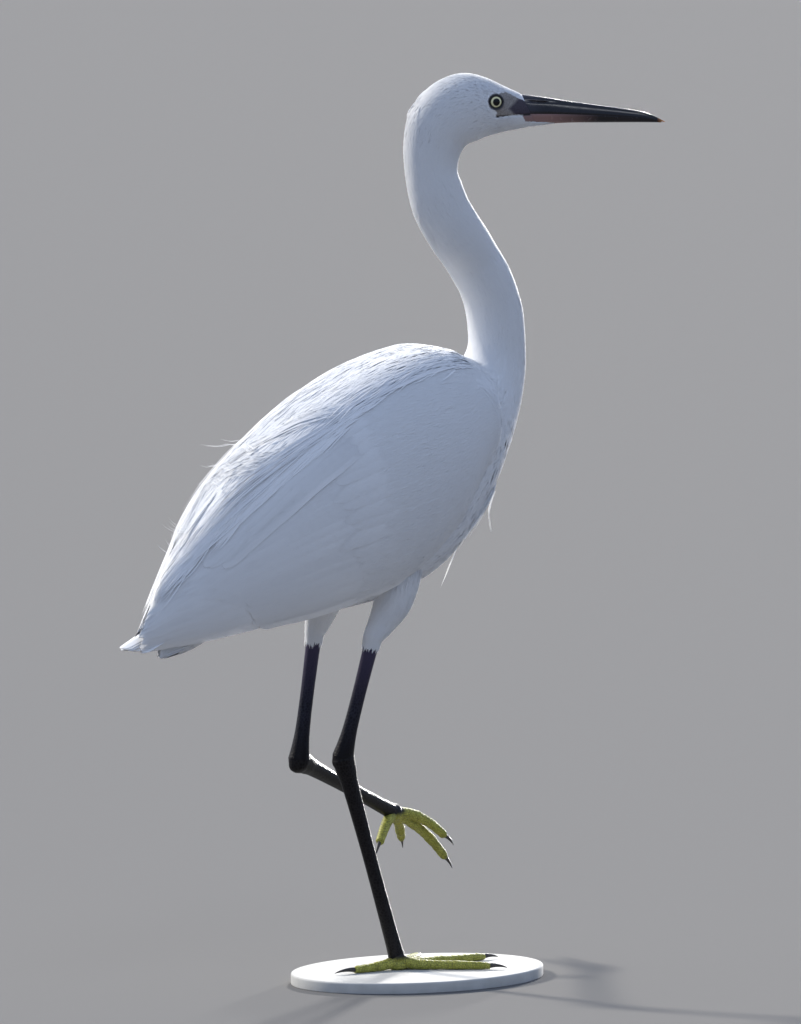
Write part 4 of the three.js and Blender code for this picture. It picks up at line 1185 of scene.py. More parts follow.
# %% Locks down each thigh
def grid_locks(name, grid, rows, columns, length_rows, half_width, over, roots, seed,
               stations=4, loose=1.0):
    """Locks on rings of points, from the given row and column, running on along the rows."""
    draw = np.random.default_rng(seed)
    ring_total, sides = grid.shape[:2]
    share = np.linspace(0, 1, stations)[None]
    row = np.clip(rows[:, None] + length_rows[:, None] * share, 0, ring_total - 1.001)
    column = (columns[:, None] + draw.normal(0, loose, (len(rows), 1)) * share) % sides
    normal = unit(grid_normals(grid)[row.astype(int), column.astype(int) % sides])
    height = np.interp(share, np.linspace(0, 1, len(over)), over)
    height = height + draw.normal(0, 0.15, (len(rows), 1)) * share
    centre = blend(grid, row, column) + normal * height[..., None]
    wide = half_width * draw.uniform(0.75, 1.2, (len(rows), 1)) * lock_profile(share)
    return make_locks(name, centre, normal, wide, 0.3 * wide, roots, seed + 1)


def strip_roots(rows, columns, rings, sides, left, width=0.28, low=0.84, height=0.14):
    """Places on a strip of the unwrap's top, for the coat of a limb of its own."""
    return np.stack([left + width * columns / sides, low + height * rows / rings], axis=-1)


thigh_rings, thigh_sides, spots = 90, 48, 4700
thigh_coats = {}
for name, seed, strip in (("right", 1501, 0.02), ("left", 1551, 0.34)):
    draw = np.random.default_rng(seed)
    cuff, knee = np.array(cuffs[name], float), np.array(knees[name], float)
    run = thigh_run(name) + [cuff + 10 * unit(knee - cuff)]
    grid = limb_grid(run, thigh_radii + [[4.9]], thigh_sides, thigh_rings, thigh_deeper, -1.0)
    rows = draw.uniform(0.02, 0.74, spots) * thigh_rings
    columns = draw.uniform(0, thigh_sides, spots)
    reach = draw.uniform(10, 17, spots)
    frayed = thigh_rings * (0.765 + 0.11 * draw.uniform(0, 1, spots) ** 1.6)
    thigh_coats[name] = grid_locks(
        "coat_thigh_" + name, grid, rows, columns, np.minimum(reach, frayed - rows), 0.52,
        [-0.6, 0.4, 0.7, 0.35], strip_roots(rows, columns, thigh_rings, thigh_sides, strip),
        seed + 1)


# %% [markdown]
# ## The tail
# Twelve short square-ended feathers lie under the wing tips, with soft coverts over their
# roots above and below. Each is a plate along a line of its own, slightly arched.

# %% Tail feathers and coverts
def free_plates(lines, half_width, arch, thick, roots, seed, rows=18, columns=9,
                across=(0, 1, 0), outward=(0, 0, 1), soft=False):
    """Arched plates along lines; across is their width's way, outward their upper side's."""
    draw = np.random.default_rng(seed)
    curves = np.stack([curve_through(line, 60) for line in lines])
    length = np.linalg.norm(np.diff(curves, axis=1), axis=-1).sum(1)
    half = np.full(len(lines), half_width) * (1 + draw.normal(0, 0.04, len(lines)))
    t, c, along, width = vane_shapes(rows, columns, half, length, 0.0, draw)
    place = np.clip(along / length[:, None, None], 0, 1) * 58.99  # of 60 points on each line
    i = place.astype(int)
    n = np.arange(len(lines))[:, None, None]
    s = (place - i)[..., None]
    centre = curves[n, i] * (1 - s) + curves[n, i + 1] * s
    way = unit(curves[n, i + 1] - curves[n, i])
    across, outward = (np.asarray(ways, float).reshape(-1, 1, 1, 3) for ways in (across, outward))
    side = unit(across - way * np.sum(across * way, axis=-1, keepdims=True))
    up = np.cross(side, way)
    up = up * np.sign(np.sum(up * outward, axis=-1, keepdims=True))
    bend = arch * (1 - c * c) + 0.1 * np.exp(-((c / 0.1) ** 2)) * (1 - t)
    top = centre + side * width[..., None] + up * bend[..., None]
    under = top - up * (thick * (1 - 0.5 * c * c))[..., None]
    return plate_part(top, under, t, c, width, along, np.asarray(roots, float), draw,
                      outward if soft else None)


def tail_feathers(count, root_spread, tip_spread, half_width, seed):
    draw = np.random.default_rng(seed)
    lines = []
    for spread in sorted(np.linspace(-1, 1, count), key=abs, reverse=True):
        inner = 1 - abs(spread)
        end = -193 + 9 * abs(spread) + draw.normal(0, 0.8)
        tip = np.array([end, tip_spread * spread, 186 + 2.5 * inner])
        root = np.array([-136, root_spread * spread, 206 + 5 * inner])
        lines.append([root, (root + tip) / 2 + [0, 2 * spread, 1], tip])
    roots = [[0.7 + 0.02 * k, 0.9] for k in range(count)]
    return free_plates(lines, half_width, 0.5, 0.35, roots, seed + 1)


def undertail(count, shrink, further, seed, rows=8):
    """Soft feathers all round the underside; the inner rings are smaller and reach further."""
    draw = np.random.default_rng(seed)
    lines, tilts, ways_out = [], [], []
    for turn in sorted(np.linspace(-1.95, 1.95, count), key=abs, reverse=True):
        out = np.array([0, math.sin(turn), -math.cos(turn)])
        end = -163 - draw.uniform(0, 4) - further + 6 * out[1]
        # X, height of the middle, reach aside and down, and how far along, from root to tip
        sizes = ((-134, 203, 9.5, 12.0, 0.2), (-150, 196, 9.0, 10.8, 0.7),
                 (end, 188.5, 7.0, 7.2, 1.0))
        lines.append([np.array([x, 0, middle + 2.5 * shrink * at])
                      + out * [0, wide, deep] * (1 - shrink * at)
                      for x, middle, wide, deep, at in sizes])
        tilts.append([0, math.cos(turn), math.sin(turn)])
        ways_out.append(unit(out * [0, 1, 0.2] + [-0.2, 0, 0.2]))
    roots = [[0.7 + 0.013 * k, 0.95] for k in range(count)]
    return free_plates(lines, 3.6, 0.4, 0.3, roots, seed + 1, rows, 7, tilts, ways_out, True)


tail_vanes = make_piece("tail_vanes", *gather([
    tail_feathers(12, 5, 7.5, 4.4, 1601), undertail(21, 0, 0, 1621, 14),
    undertail(19, 0.14, 1.5, 1623), undertail(15, 0.3, 2.5, 1625), undertail(11, 0.5, 3.5, 1627),
    undertail(7, 0.75, 4.5, 1629),
]))
tail_rings, tail_sides, spots = 100, 48, 3600
draw = np.random.default_rng(1641)
rows, columns = draw.uniform(0, 84, spots), draw.uniform(0, tail_sides, spots)
coats.append(grid_locks(
    "coat_tail", tail_grid(tail_rings, tail_sides, -1.0), rows, columns,
    draw.uniform(12, 22, spots), 0.9, [-1.2, 0.4, 1.1, 1.3],
    strip_roots(rows, columns, tail_rings, tail_sides, 0.7), 1642))


# %% [markdown]
# ## The bill
# Each half of the bill is a run of half ovals. The upper one carries a groove along its side
# with the slit of the nostril at its start, and both close on a sharp edge. The horn is cut
# into a fine grid so that the groove is real shape and catches the light.

# %% Upper and lower bill
# ahead of and above the eyes: top, underside, and the half width
upper_bill_rows = [
    [10.5, 3.0, 15.5, -6.8, 5.8], [14.4, 3.2, 19.3, -6.8, 6.3], [25, 1.9, 27, -6.9, 5.6],
    [40, -0.5, 41, -7.2, 4.7], [56, -2.7, 56, -7.8, 3.8], [70, -4.6, 70, -8.7, 3],
    [82, -7, 82, -9.9, 1.9], [91.4, -11.5, 91.4, -11.8, 0.3],
]
lower_bill_rows = [
    [16, -6.9, 19, -12.9, 5.5], [19.7, -6.8, 22.5, -13.2, 6], [27, -6.8, 28.5, -12.7, 5.4],
    [41, -7.1, 41, -12.1, 4.5], [56, -7.7, 56, -12, 3.6], [70, -8.6, 70, -11.9, 2.8],
    [82, -9.8, 82, -11.9, 1.7], [89.5, -11.4, 89.5, -12, 0.3],
]
chin_rows = [[8, -10.5, 10, -14.6, 5.2], [20, -11, 22, -13.6, 4.4], [33, -11.6, 33, -12, 1.6]]


def bill_grid(rows, rings, arc, facing, grow=0.0, carve=None):
    """Half ovals with a flat side: facing is 1 with the flat below and -1 with it above."""
    row = between(rows, np.linspace(0, len(rows) - 1, rings))
    top_x, top_z, low_x, low_z, half_width = (value[:, None] for value in np.moveaxis(row, -1, 0))
    angle = np.linspace(-math.pi / 2, math.pi / 2, arc)[None]
    flat = np.linspace(1, -1, arc // 3)[None, 1:-1]
    upright = facing * np.cos(angle)
    share = upright if facing > 0 else 1 + upright
    side = np.sin(angle)
    base = np.full_like(flat, 0.0 if facing > 0 else 1.0)
    share, side = np.hstack([share, base]), np.hstack([side, flat])
    x = low_x + (top_x - low_x) * share
    z = low_z + (top_z - low_z) * share + grow * (2 * share - 1)
    y = (half_width + grow) * side
    if carve is not None:
        y = y * carve(x, z, share)
    return on_head(x, y, z)


def upper_carve(x, z, share):
    """The groove, the nostril and a slightly pinched edge, as a share of the width."""
    line = -0.2 - 0.055 * (x - 18)
    groove = np.exp(-(((z - line) / 0.55) ** 2)) * fade(x, 14, 18) * fade(x, 60, 34)
    slit = np.exp(-(((z - line + 0.1) / 0.34) ** 2)) * fade(x, 17.5, 20) * fade(x, 29, 26)
    edge = np.exp(-((share / 0.08) ** 2))
    return 1 - 0.085 * groove - 0.24 * slit - 0.03 * edge


def lower_carve(x, _, share):
    """A low ridge along the side and a pinched edge; the height isn't needed."""
    ridge = np.exp(-(((share - 0.5) / 0.1) ** 2)) * fade(x, 70, 40)
    return 1 - 0.04 * ridge - 0.04 * np.exp(-(((1 - share) / 0.08) ** 2))


def bill_half(name, rows, facing, carve):
    points, faces = tube(bill_grid(rows, 200, 61, facing, 0.0, carve))
    return make_piece(name, points, faces, {"ahead": head_place(points)[0]})


bill_upper = bill_half("bill_upper_horn", upper_bill_rows, 1, upper_carve)
bill_lower = bill_half("bill_lower_horn", lower_bill_rows, -1, lower_carve)

chin_rings, chin_sides, spots = 40, 31, 1000
chin_grid = bill_grid(chin_rows, chin_rings, chin_sides, -1, -0.25)
points, faces = tube(chin_grid)
not_bare = dict.fromkeys(face_numbers, np.zeros(len(points)))
join_into(skin, [make_piece("chin", points, faces, not_bare)])

draw = np.random.default_rng(1701)
rows, columns = draw.uniform(0, 30, spots), draw.uniform(0, 30, spots)
chin_roots = strip_roots(rows, columns, chin_rings, chin_sides, 0.45, 0.1, 0.82, 0.02)
coats.append(grid_locks(
    "coat_chin", chin_grid[::-1], rows, columns, draw.uniform(5, 8, spots), 0.3,
    [-0.15, 0.2, 0.35, 0.4], chin_roots, 1702, stations=5, loose=0.5))


# %% [markdown]
# ## Eyes
# A heron's eye is a ball with a pale yellow iris round a small pupil, under a clear cornea
# that bulges a little. Every point carries its distance from the eye's axis, and the finish
# draws iris and pupil from that.

# %% Eyeballs
def eyeball(name, side):
    inward = eye_radius - eye_bulge
    cos, sin = math.cos(eye_forward), math.sin(eye_forward)
    centre = on_head(-inward * sin, side * (cheek_half_width - inward * cos), 0)
    out = unit(on_head(sin, side * cos, 0) - on_head(0.0, 0.0, 0.0))
    up = np.array([0, 0, 1.0])
    fore = np.cross(up, out)
    polar = np.linspace(0.004, math.pi - 0.004, 64)[:, None]
    turn = full_turn(64)[None]
    radius = eye_radius + 0.28 * fade(polar, 0.72, 0.1)  # with the bulge of the cornea
    grid = centre + (out * (np.cos(polar) * radius)[..., None]
                     + fore * (np.sin(polar) * np.cos(turn) * radius)[..., None]
                     + up * (np.sin(polar) * np.sin(turn) * radius)[..., None])
    piece = make_piece(name, *tube(grid))
    offset = points_of(piece) - centre
    along, height = offset @ fore, offset @ up
    behind = offset @ out < 0
    add_number(piece, "from_axis", np.where(behind, 9, np.hypot(along, height)))
    add_number(piece, "pupil_reach", np.where(behind, 9, np.hypot(along, height * 0.94)))
    add_number(piece, "round_axis", np.arctan2(height, along))
    return piece


eyes = {name: eyeball("eyeball_" + name, side) for name, side in zip(both, (-1, 1))}


# %% [markdown]
# ## Legs and feet
# The bare legs are covered in small scales, the toes in a row of plates along the top with
# soft pads below. Limb and joint are made as closed forms and wrapped by one skin of small
# facets, which rounds the way from one to the other. The plates of the toes are real steps.

# %% Shanks and tarsi
def wrap(name, forms, cell, smoothing):
    """One closed skin round several overlapping closed forms."""
    piece, *others = [make_piece(name, *form) for form in forms]
    if others:
        join_into(piece, others)
    step = piece.modifiers.new("wrap", "REMESH")
    step.mode = "VOXEL"
    step.voxel_size = cell * MM
    soft = piece.modifiers.new("soften", "SMOOTH")
    soft.factor = 0.5
    soft.iterations = smoothing
    bpy.context.view_layer.objects.active = piece
    bpy.ops.object.modifier_apply(modifier="wrap")
    bpy.ops.object.modifier_apply(modifier="soften")
    piece.data.shade_smooth()
    print(name, "wrapped, faces", len(piece.data.polygons))
    return piece


def ball_form(centre, radii, sides=40):
    polar = np.linspace(0.01, math.pi - 0.01, sides // 2)[:, None]
    turn = full_turn(sides)[None]
    direction = np.stack([np.sin(polar) * np.cos(turn), np.sin(polar) * np.sin(turn),
                          np.cos(polar) + 0 * turn], axis=-1)
    return tube(np.asarray(centre, float) + direction * np.asarray(radii, float))


shanks, tarsi = {}, {}
for name in both:
    cuff, knee, ankle = (np.array(table[name], float) for table in (cuffs, knees, ankles))
    down = unit(knee - cuff)
    shank_run = [cuff + (knee - cuff) * share for share in (-0.05, 0.4, 0.72, 0.88, 1.0)]
    shank = limb_grid(shank_run, [[3.85], [3.45], [3.7], [4.5], [5.6]], 36, 80, 1.12)
    shanks[name] = wrap("shank_skin_" + name, [tube(shank)], 0.45, 2)
    down_share = (points_of(shanks[name]) - cuff) @ down / np.linalg.norm(knee - cuff)
    add_number(shanks[name], "from_cuff", down_share)
    tarsus_run = [knee + (ankle - knee) * share for share in (0, 0.07, 0.16, 0.5, 0.9, 1)]
    tarsus = limb_grid(tarsus_run, [[5.8], [5.1], [4.2], [3.5], [3.8], [4.3]], 36, 120, 1.12)
    joint = [ball_form(knee, (5.9, 5.5, 6.0)), ball_form(knee + 2.6 * down, (5.4, 5.0, 4.6))]
    tarsi[name] = wrap("tarsus_skin_" + name, [tube(tarsus), *joint], 0.42, 12)

# %% [markdown]
# Three toes point forward and one back, each with a slim curved claw of horn. A toe is a
# tube that swells at its joints and steps down at every plate, so that its plates have real
# edges. The standing foot lies flat on the base, and the raised one hangs from its ankle.

# %% Toes, pads and claws
# name, degrees from the heading, length, claw length, plates
toe_rows = [
    ["outer", -40, 50, 9, 20], ["middle", 0, 61, 10, 25],
    ["inner", 36, 44, 9, 17], ["hind", 176, 29, 13, 11],
]
# the way each raised toe points, and the shares of its length where a toe has joints
raised_reach = {"outer": (41, 40, -25.5), "middle": (63, 20, -38), "inner": (50, 5.6, -20.6),
                "hind": (-29.4, -19, -19.7)}
toe_joints = {"outer": (0.3, 0.52, 0.78), "middle": (0.36, 0.68), "inner": (0.44,), "hind": ()}


def toe_form(route, name, plates, start_radius, end_radius, floor_level=None):
    """A toe with stepped plates on top, thicker at its joints and soft below."""
    share = np.linspace(0, 1, plates * 9 + 1)
    centre = curve_through(route, len(share))
    along = unit(np.gradient(centre, axis=0))
    side = unit(np.stack([-along[:, 1], along[:, 0], 0 * along[:, 0]], axis=-1))
    up = np.cross(along, side)
    angle = full_turn(28)
    cos, sin = np.cos(angle), np.sin(angle)
    radius = start_radius + (end_radius - start_radius) * share
    radius = radius * (1 - 0.25 * fade(share, 0.93, 1))
    for joint in toe_joints[name]:
        radius = radius + 0.32 * np.exp(-(((share - joint) / 0.045) ** 2))
    tooth = (share * plates) % 1
    on_top = fade(sin, 0.05, 0.45)[None]
    plate = 0.26 * (1 - tooth ** 3)[:, None] * on_top
    plate = plate - 0.14 * np.exp(-((tooth / 0.1) ** 2))[:, None] * on_top
    pads = 0.1 * np.sin(share * plates * 2 * math.pi * 0.5 + 1)[:, None]
    reach = radius[:, None] + plate + pads * fade(sin, -0.1, -0.7)[None]
    grid = centre[:, None] + side[:, None] * (reach * cos)[..., None]
    grid = grid + up[:, None] * (reach * sin)[..., None]
    if floor_level is not None:
        grid[..., 2] = np.maximum(grid[..., 2], floor_level)
    return tube(grid)


def claw_form(base, direction, length, radius, droop, floor_level):
    along = unit(np.asarray(direction, float))
    side = unit(np.array([-along[1], along[0], 0]))
    up = np.cross(along, side)
    t = np.linspace(0, 1, 40)[:, None]
    angle = full_turn(24)[None]
    size = radius * (1 - t) ** 0.75 + 0.1
    centre = base + along * (length * t) + up * (droop * (0.9 * t * (1 - t) - 0.35 * t * t))
    keel = 1 - 0.12 * fade(-np.sin(angle), 0.5, 1)
    grid = centre[:, None] + side * (size * 0.72 * np.cos(angle))[..., None]
    grid = grid + up * (size * keel * np.sin(angle))[..., None]
    grid[..., 2] = np.maximum(grid[..., 2], floor_level)
    return tube(grid)


def add_forms(name, forms):
    """Several closed forms in one mesh."""
    starts = np.cumsum([0] + [len(points) for points, _ in forms])
    faces = [face + start for (_, found), start in zip(forms, starts) for face in found]
    return make_piece(name, np.concatenate([points for points, _ in forms]), faces)


feet, claws = {}, {}
standing, raised = [], []
low = 1.9
for name, degrees, length, claw_length, plates in toe_rows:
    heading = np.array([math.cos(math.radians(degrees)), math.sin(math.radians(degrees)), 0])
    at = lambda distance, height: heading * distance + [0, 0, height]
    route = [at(1, 5), at(7, 3), at(14, low + 0.3), at(length * 0.6, low), at(length, low - 0.4)]
    standing.append(toe_form(route, name, plates, 3.1, 2.1, 0.02))
    claws["right", name] = add_forms("claw_horn_right_" + name, [
        claw_form(at(length - 0.9, low - 0.35), heading, claw_length + 1.2, 1.45, 2.4, 0.1)])
    reach = unit(np.array(raised_reach[name], float))
    bow = 1.6 if name == "hind" else 3.2
    points = [np.array(ankles["left"]) + reach * length * share + [0, 0, lift]
              for share, lift in ((0.02, 0), (0.35, bow), (0.7, bow), (1, 0))]
    raised.append(toe_form(points, name, plates, 3.2, 2.2))
    end = unit(points[3] - points[2])
    claws["left", name] = add_forms("claw_horn_left_" + name, [
        claw_form(points[3] - end * 0.9, end, claw_length + 1.2, 1.35, 2.4, -rise)])


def pad_form():
    points, faces = ball_form((0, 0, 2.6), (6.2, 5.3, 3.7))
    points[:, 2] = np.maximum(points[:, 2], 0.02)
    return points, faces


ankle_ball = ball_form((-1, 0, 6.6), (4.6, 4.5, 4.9))
feet["right"] = add_forms("foot_skin_right", standing + [pad_form(), ankle_ball])
feet["left"] = add_forms("foot_skin_left", raised + [ball_form(ankles["left"], (5.0, 4.9, 5.0))])


# %% [markdown]
# ## The base
# On one foot the model would fall over, so it stands on a low oval base of painted wood. The
# edges are rounded over, because a sharp painted edge chips.

# %% Base
def base_form():
    """Rings of an oval, each given by its height and how far it is drawn in."""
    sides, edge = 180, 1.0
    half_length, half_width, middle = 76, 56, (12, -2)
    turn = full_turn(sides)
    low_edge = [(0.5 * (1 - math.cos(a)), 0.5 * (1 - math.sin(a)))
                for a in np.linspace(0, math.pi / 2, 5)]
    high_edge = [(stand_height - edge * (1 - math.sin(a)), edge * (1 - math.cos(a)))
                 for a in np.linspace(0, math.pi / 2, 9)]
    rings = []
    for height, inset in low_edge + high_edge:
        x = middle[0] + (half_length - inset) * np.cos(turn)
        y = middle[1] + (half_width - inset) * np.sin(turn)
        rings.append(np.stack([x, y, np.full(sides, height - rise)], axis=-1))
    return tube(np.stack(rings))


stand = make_piece("stand_base_painted", *base_form())


# %% [markdown]
# ## Finishes
# White feathers are hardly a colour: what shows is how they scatter light. A nearly white
# base with fine streaks along each feather in colour and bump keeps them soft. The roots are
# painted a little darker as painted shade, where each feather lies under the one before. A
# little light also passes under the surface. Images could do the same, but formulas stay
# sharp at any size. First come the helpers that all finishes share.

# %% Helpers for materials
def new_material(name, roughness, colour, others={}):
    """A material, its node tree and its shader, with any other numbers of the shader."""
    material = bpy.data.materials.new(name)
    material.use_nodes = True
    shader = material.node_tree.nodes["Principled BSDF"]
    given = {"Roughness": roughness, "Base Color": (*colour, 1), **others}
    for label, value in given.items():
        shader.inputs[label].default_value = value
    return material, material.node_tree, shader


def add_node(tree, kind, **values):
    node = tree.nodes.new(kind)
    for key, value in values.items():
        if key in node.inputs:
            node.inputs[key].default_value = value
        else:
            setattr(node, key, value)
    return node


def number_of(tree, label):
    return add_node(tree, "ShaderNodeAttribute", attribute_name=label).outputs["Fac"]


def ramp(tree, value, *stops):
    node = tree.nodes.new("ShaderNodeValToRGB")
    tree.links.new(value, node.inputs["Fac"])
    while len(node.color_ramp.elements) < len(stops):
        node.color_ramp.elements.new(0.5)
    for element, (position, colour) in zip(node.color_ramp.elements, stops):
        element.position = position
        element.color = (*colour, 1)
    return node.outputs["Color"]


def reading(tree, value, low, high):
    """A number taken from one range to 0..1."""
    node = add_node(tree, "ShaderNodeMapRange", **{"From Min": low, "From Max": high})
    tree.links.new(value, node.inputs["Value"])
    return node.outputs["Result"]


def mixed(tree, share, first, second, mode="MIX"):
    node = add_node(tree, "ShaderNodeMix", data_type="RGBA", blend_type=mode)
    if isinstance(share, (int, float)):
        node.inputs["Factor"].default_value = share
    else:
        tree.links.new(share, node.inputs["Factor"])
    for socket, value in zip([s for s in node.inputs if s.type == "RGBA"], (first, second)):
        if isinstance(value, tuple):
            socket.default_value = (*value, 1)
        else:
            tree.links.new(value, socket)
    return [s for s in node.outputs if s.type == "RGBA"][0]


def barb_streaks(tree, scale_across, scale_along):
    """Noise drawn out along each feather, by the map of its lie."""
    source = add_node(tree, "ShaderNodeUVMap", uv_map="lie")
    mapping = add_node(tree, "ShaderNodeMapping", Scale=(scale_across, scale_along, 1))
    noise = add_node(tree, "ShaderNodeTexNoise", Scale=1.0, Detail=3.0, Roughness=0.6)
    tree.links.new(source.outputs["UV"], mapping.inputs["Vector"])
    tree.links.new(mapping.outputs["Vector"], noise.inputs["Vector"])
    return noise.outputs["Fac"]


def place_noise(tree, scale, detail=3.0):
    source = add_node(tree, "ShaderNodeTexCoord")
    noise = add_node(tree, "ShaderNodeTexNoise", Scale=scale, Detail=detail)
    tree.links.new(source.outputs["Object"], noise.inputs["Vector"])
    return noise.outputs["Fac"]


def mottled(tree, scale, first, second, detail=3.0):
    """Two colours that run into each other in soft spots."""
    return ramp(tree, place_noise(tree, scale, detail), (0.3, first), (0.7, second))


def scale_cells(tree, size):
    """Small rounded scales: 0 in the grooves between them and 1 on top."""
    source = add_node(tree, "ShaderNodeTexCoord")
    cells = add_node(tree, "ShaderNodeTexVoronoi", feature="DISTANCE_TO_EDGE",
                     Scale=1 / size, Randomness=0.75)
    tree.links.new(source.outputs["Object"], cells.inputs["Vector"])
    return reading(tree, cells.outputs["Distance"], 0.0, 0.16)


def bump_from(tree, shader, height, strength, distance, before=None):
    node = add_node(tree, "ShaderNodeBump", Strength=strength, Distance=distance)
    tree.links.new(height, node.inputs["Height"])
    if before is not None:
        tree.links.new(before, node.inputs["Normal"])
    tree.links.new(node.outputs["Normal"], shader.inputs["Normal"])
    return node.outputs["Normal"]


# %% [markdown]
# One finish serves all the small feathers and vanes. The long plumes get a second one with
# finer barbs and less depth, because light that sinks far into thin strands turns them grey.

# %% Feather white
# a bluish grey that serves twice: for the darker barbs of the streaks, and as painted shade on the
# root of each feather
root_shade_and_barb_grey = (0.74, 0.745, 0.77)
plume_white = (0.88, 0.885, 0.895)
plume_warm = (0.90, 0.89, 0.87)


def feather_finish(name, barb_scale, bump, glow, depth):
    material, tree, shader = new_material(name, 0.62, plume_white, {
        "Sheen Weight": 0.1, "Sheen Roughness": 0.4, "Specular IOR Level": 0.25,
        "Subsurface Weight": glow, "Subsurface Radius": (1.0, 0.95, 0.9),
        "Subsurface Scale": depth})
    streaks = barb_streaks(tree, barb_scale, 1.6)
    tint = ramp(tree, streaks, (0.3, root_shade_and_barb_grey), (0.5, plume_white), (0.75, plume_warm))
    # painted shade: each feather is painted greyer at its root, where it lies under the feather
    # before it
    along = ramp(tree, number_of(tree, "along"),
                 (0.0, root_shade_and_barb_grey), (0.35, plume_white), (1.0, plume_white))
    colour = mixed(tree, 0.3, along, tint)
    shade = ramp(tree, number_of(tree, "tone"), (0, (0.83, 0.835, 0.85)), (1, plume_white))
    tree.links.new(mixed(tree, 0.2, colour, shade), shader.inputs["Base Color"])
    bump_from(tree, shader, streaks, bump, 0.00015)
    return material


feather_white = feather_finish("feather_white", 26, 0.2, 0.25, 0.0025)
plume_finish = feather_finish("plume_white", 34, 0.35, 0.1, 0.0015)
print("feather finishes", feather_white.name, plume_finish.name)

# %% [markdown]
# The skin shows only on the face, and between the feathers it is pale as down. The numbers
# on its points mix the grey of the bare face, the darker tone by the bill, the flesh colour
# under it, the ring round the eye and the line of the mouth.

# %% Skin
skin_finish, tree, shader = new_material("skin_finish", 0.6, (0.8, 0.78, 0.76))
down = ramp(tree, place_noise(tree, 900), (0.35, (0.78, 0.78, 0.79)), (0.65, (0.86, 0.86, 0.87)))
grey_lore = mottled(tree, 1400, (0.15, 0.132, 0.118), (0.30, 0.272, 0.25))
dark_lore = mottled(tree, 1400, (0.018, 0.012, 0.02), (0.05, 0.036, 0.055))
lore = mixed(tree, number_of(tree, "towards_bill"), grey_lore, dark_lore)
for label, colour in (("lower_base", (0.25, 0.15, 0.14)), ("eye_ring", (0.02, 0.02, 0.025)),
                      ("mouth", (0.012, 0.01, 0.012))):
    lore = mixed(tree, number_of(tree, label), lore, colour)
tree.links.new(mixed(tree, number_of(tree, "bare"), down, lore), shader.inputs["Base Color"])
bump_from(tree, shader, place_noise(tree, 2600, 2), 0.3, 0.0002)
print("skin finish, nodes", len(tree.nodes))

# %% [markdown]
# The bill is horn: nearly black with a violet cast, satin, worn a little dull in long streaks.
# The base of the lower half is flesh grey, and the very tip carries a painted glint: orange-brown,
# as light shows in the thin horn.

# %% Horn of bill and claws
def horn_finish(name, base_tone, base_end):
    material, tree, shader = new_material(name, 0.3, (0.02, 0.018, 0.024))
    worn = place_noise(tree, 420, 4)
    dark = ramp(tree, worn, (0.3, (0.0025, 0.002, 0.003)), (0.7, (0.009, 0.006, 0.010)))
    ahead = number_of(tree, "ahead")
    colour = mixed(tree, reading(tree, ahead, *base_end), base_tone, dark)
    # painted glint: the last few millimetres of the tip are painted orange-brown
    colour = mixed(tree, reading(tree, ahead, 87, 90), colour, (0.42, 0.15, 0.03))
    tree.links.new(colour, shader.inputs["Base Color"])
    dullness = ramp(tree, worn, (0.25, (0.16, 0.16, 0.16)), (0.75, (0.3, 0.3, 0.3)))
    tree.links.new(dullness, shader.inputs["Roughness"])
    bump_from(tree, shader, place_noise(tree, 1500, 3), 0.2, 0.0001)
    return material


upper_horn = horn_finish("upper_horn", (0.03, 0.026, 0.035), (14, 26))
lower_horn = horn_finish("lower_horn", (0.27, 0.155, 0.14), (28, 56))

claw_horn, tree, shader = new_material("claw_horn", 0.38, (0.03, 0.026, 0.024))
worn_claw = mottled(tree, 1200, (0.018, 0.016, 0.015), (0.075, 0.062, 0.05))
tree.links.new(worn_claw, shader.inputs["Base Color"])
bump_from(tree, shader, place_noise(tree, 2400), 0.25, 0.0001)
print("horn finishes", upper_horn.name, lower_horn.name, claw_horn.name)

# %% [markdown]
# The eye is glossy: a pale yellow iris with fine rays, darker at both rims, a black pupil, and
# a dark ring of skin where the lids meet the ball. A clear coat stands for the cornea.

# %% Eye
eye_finish, tree, shader = new_material("eye_finish", 0.25, (0.8, 0.76, 0.4), {
    "Specular IOR Level": 0.0, "Coat Weight": 1.0, "Coat IOR": 1.35, "Coat Roughness": 0.02})
from_axis, pupil_reach = number_of(tree, "from_axis"), number_of(tree, "pupil_reach")
rays_at = add_node(tree, "ShaderNodeCombineXYZ")
tree.links.new(number_of(tree, "round_axis"), rays_at.inputs["X"])
rays = add_node(tree, "ShaderNodeTexNoise", Scale=9.0, Detail=4.0)
tree.links.new(rays_at.outputs["Vector"], rays.inputs["Vector"])
yellow = ramp(tree, rays.outputs["Fac"], (0.3, (0.66, 0.60, 0.28)), (0.7, (0.92, 0.89, 0.62)))
iris_colour = yellow
# the iris's dark rim, the ring of skin outside it and the pupil
for reach, low, high, colour in (
        (from_axis, 2.7, 2.98, (0.10, 0.09, 0.03)), (from_axis, 2.9, 3.15, (0.012, 0.012, 0.014)),
        (pupil_reach, 2.0, 1.86, (0.003, 0.003, 0.004))):
    iris_colour = mixed(tree, reading(tree, reach, low, high), iris_colour, colour)
tree.links.new(iris_colour, shader.inputs["Base Color"])
print("eye finish, nodes", len(tree.nodes))

# %% [markdown]
# Legs are black with a blue bloom above the joint, and feet are olive yellow. Both are covered
# in small scales with fine grooves, which are far too many to model one by one. The base is
# matt paint with faint marks of the brush.

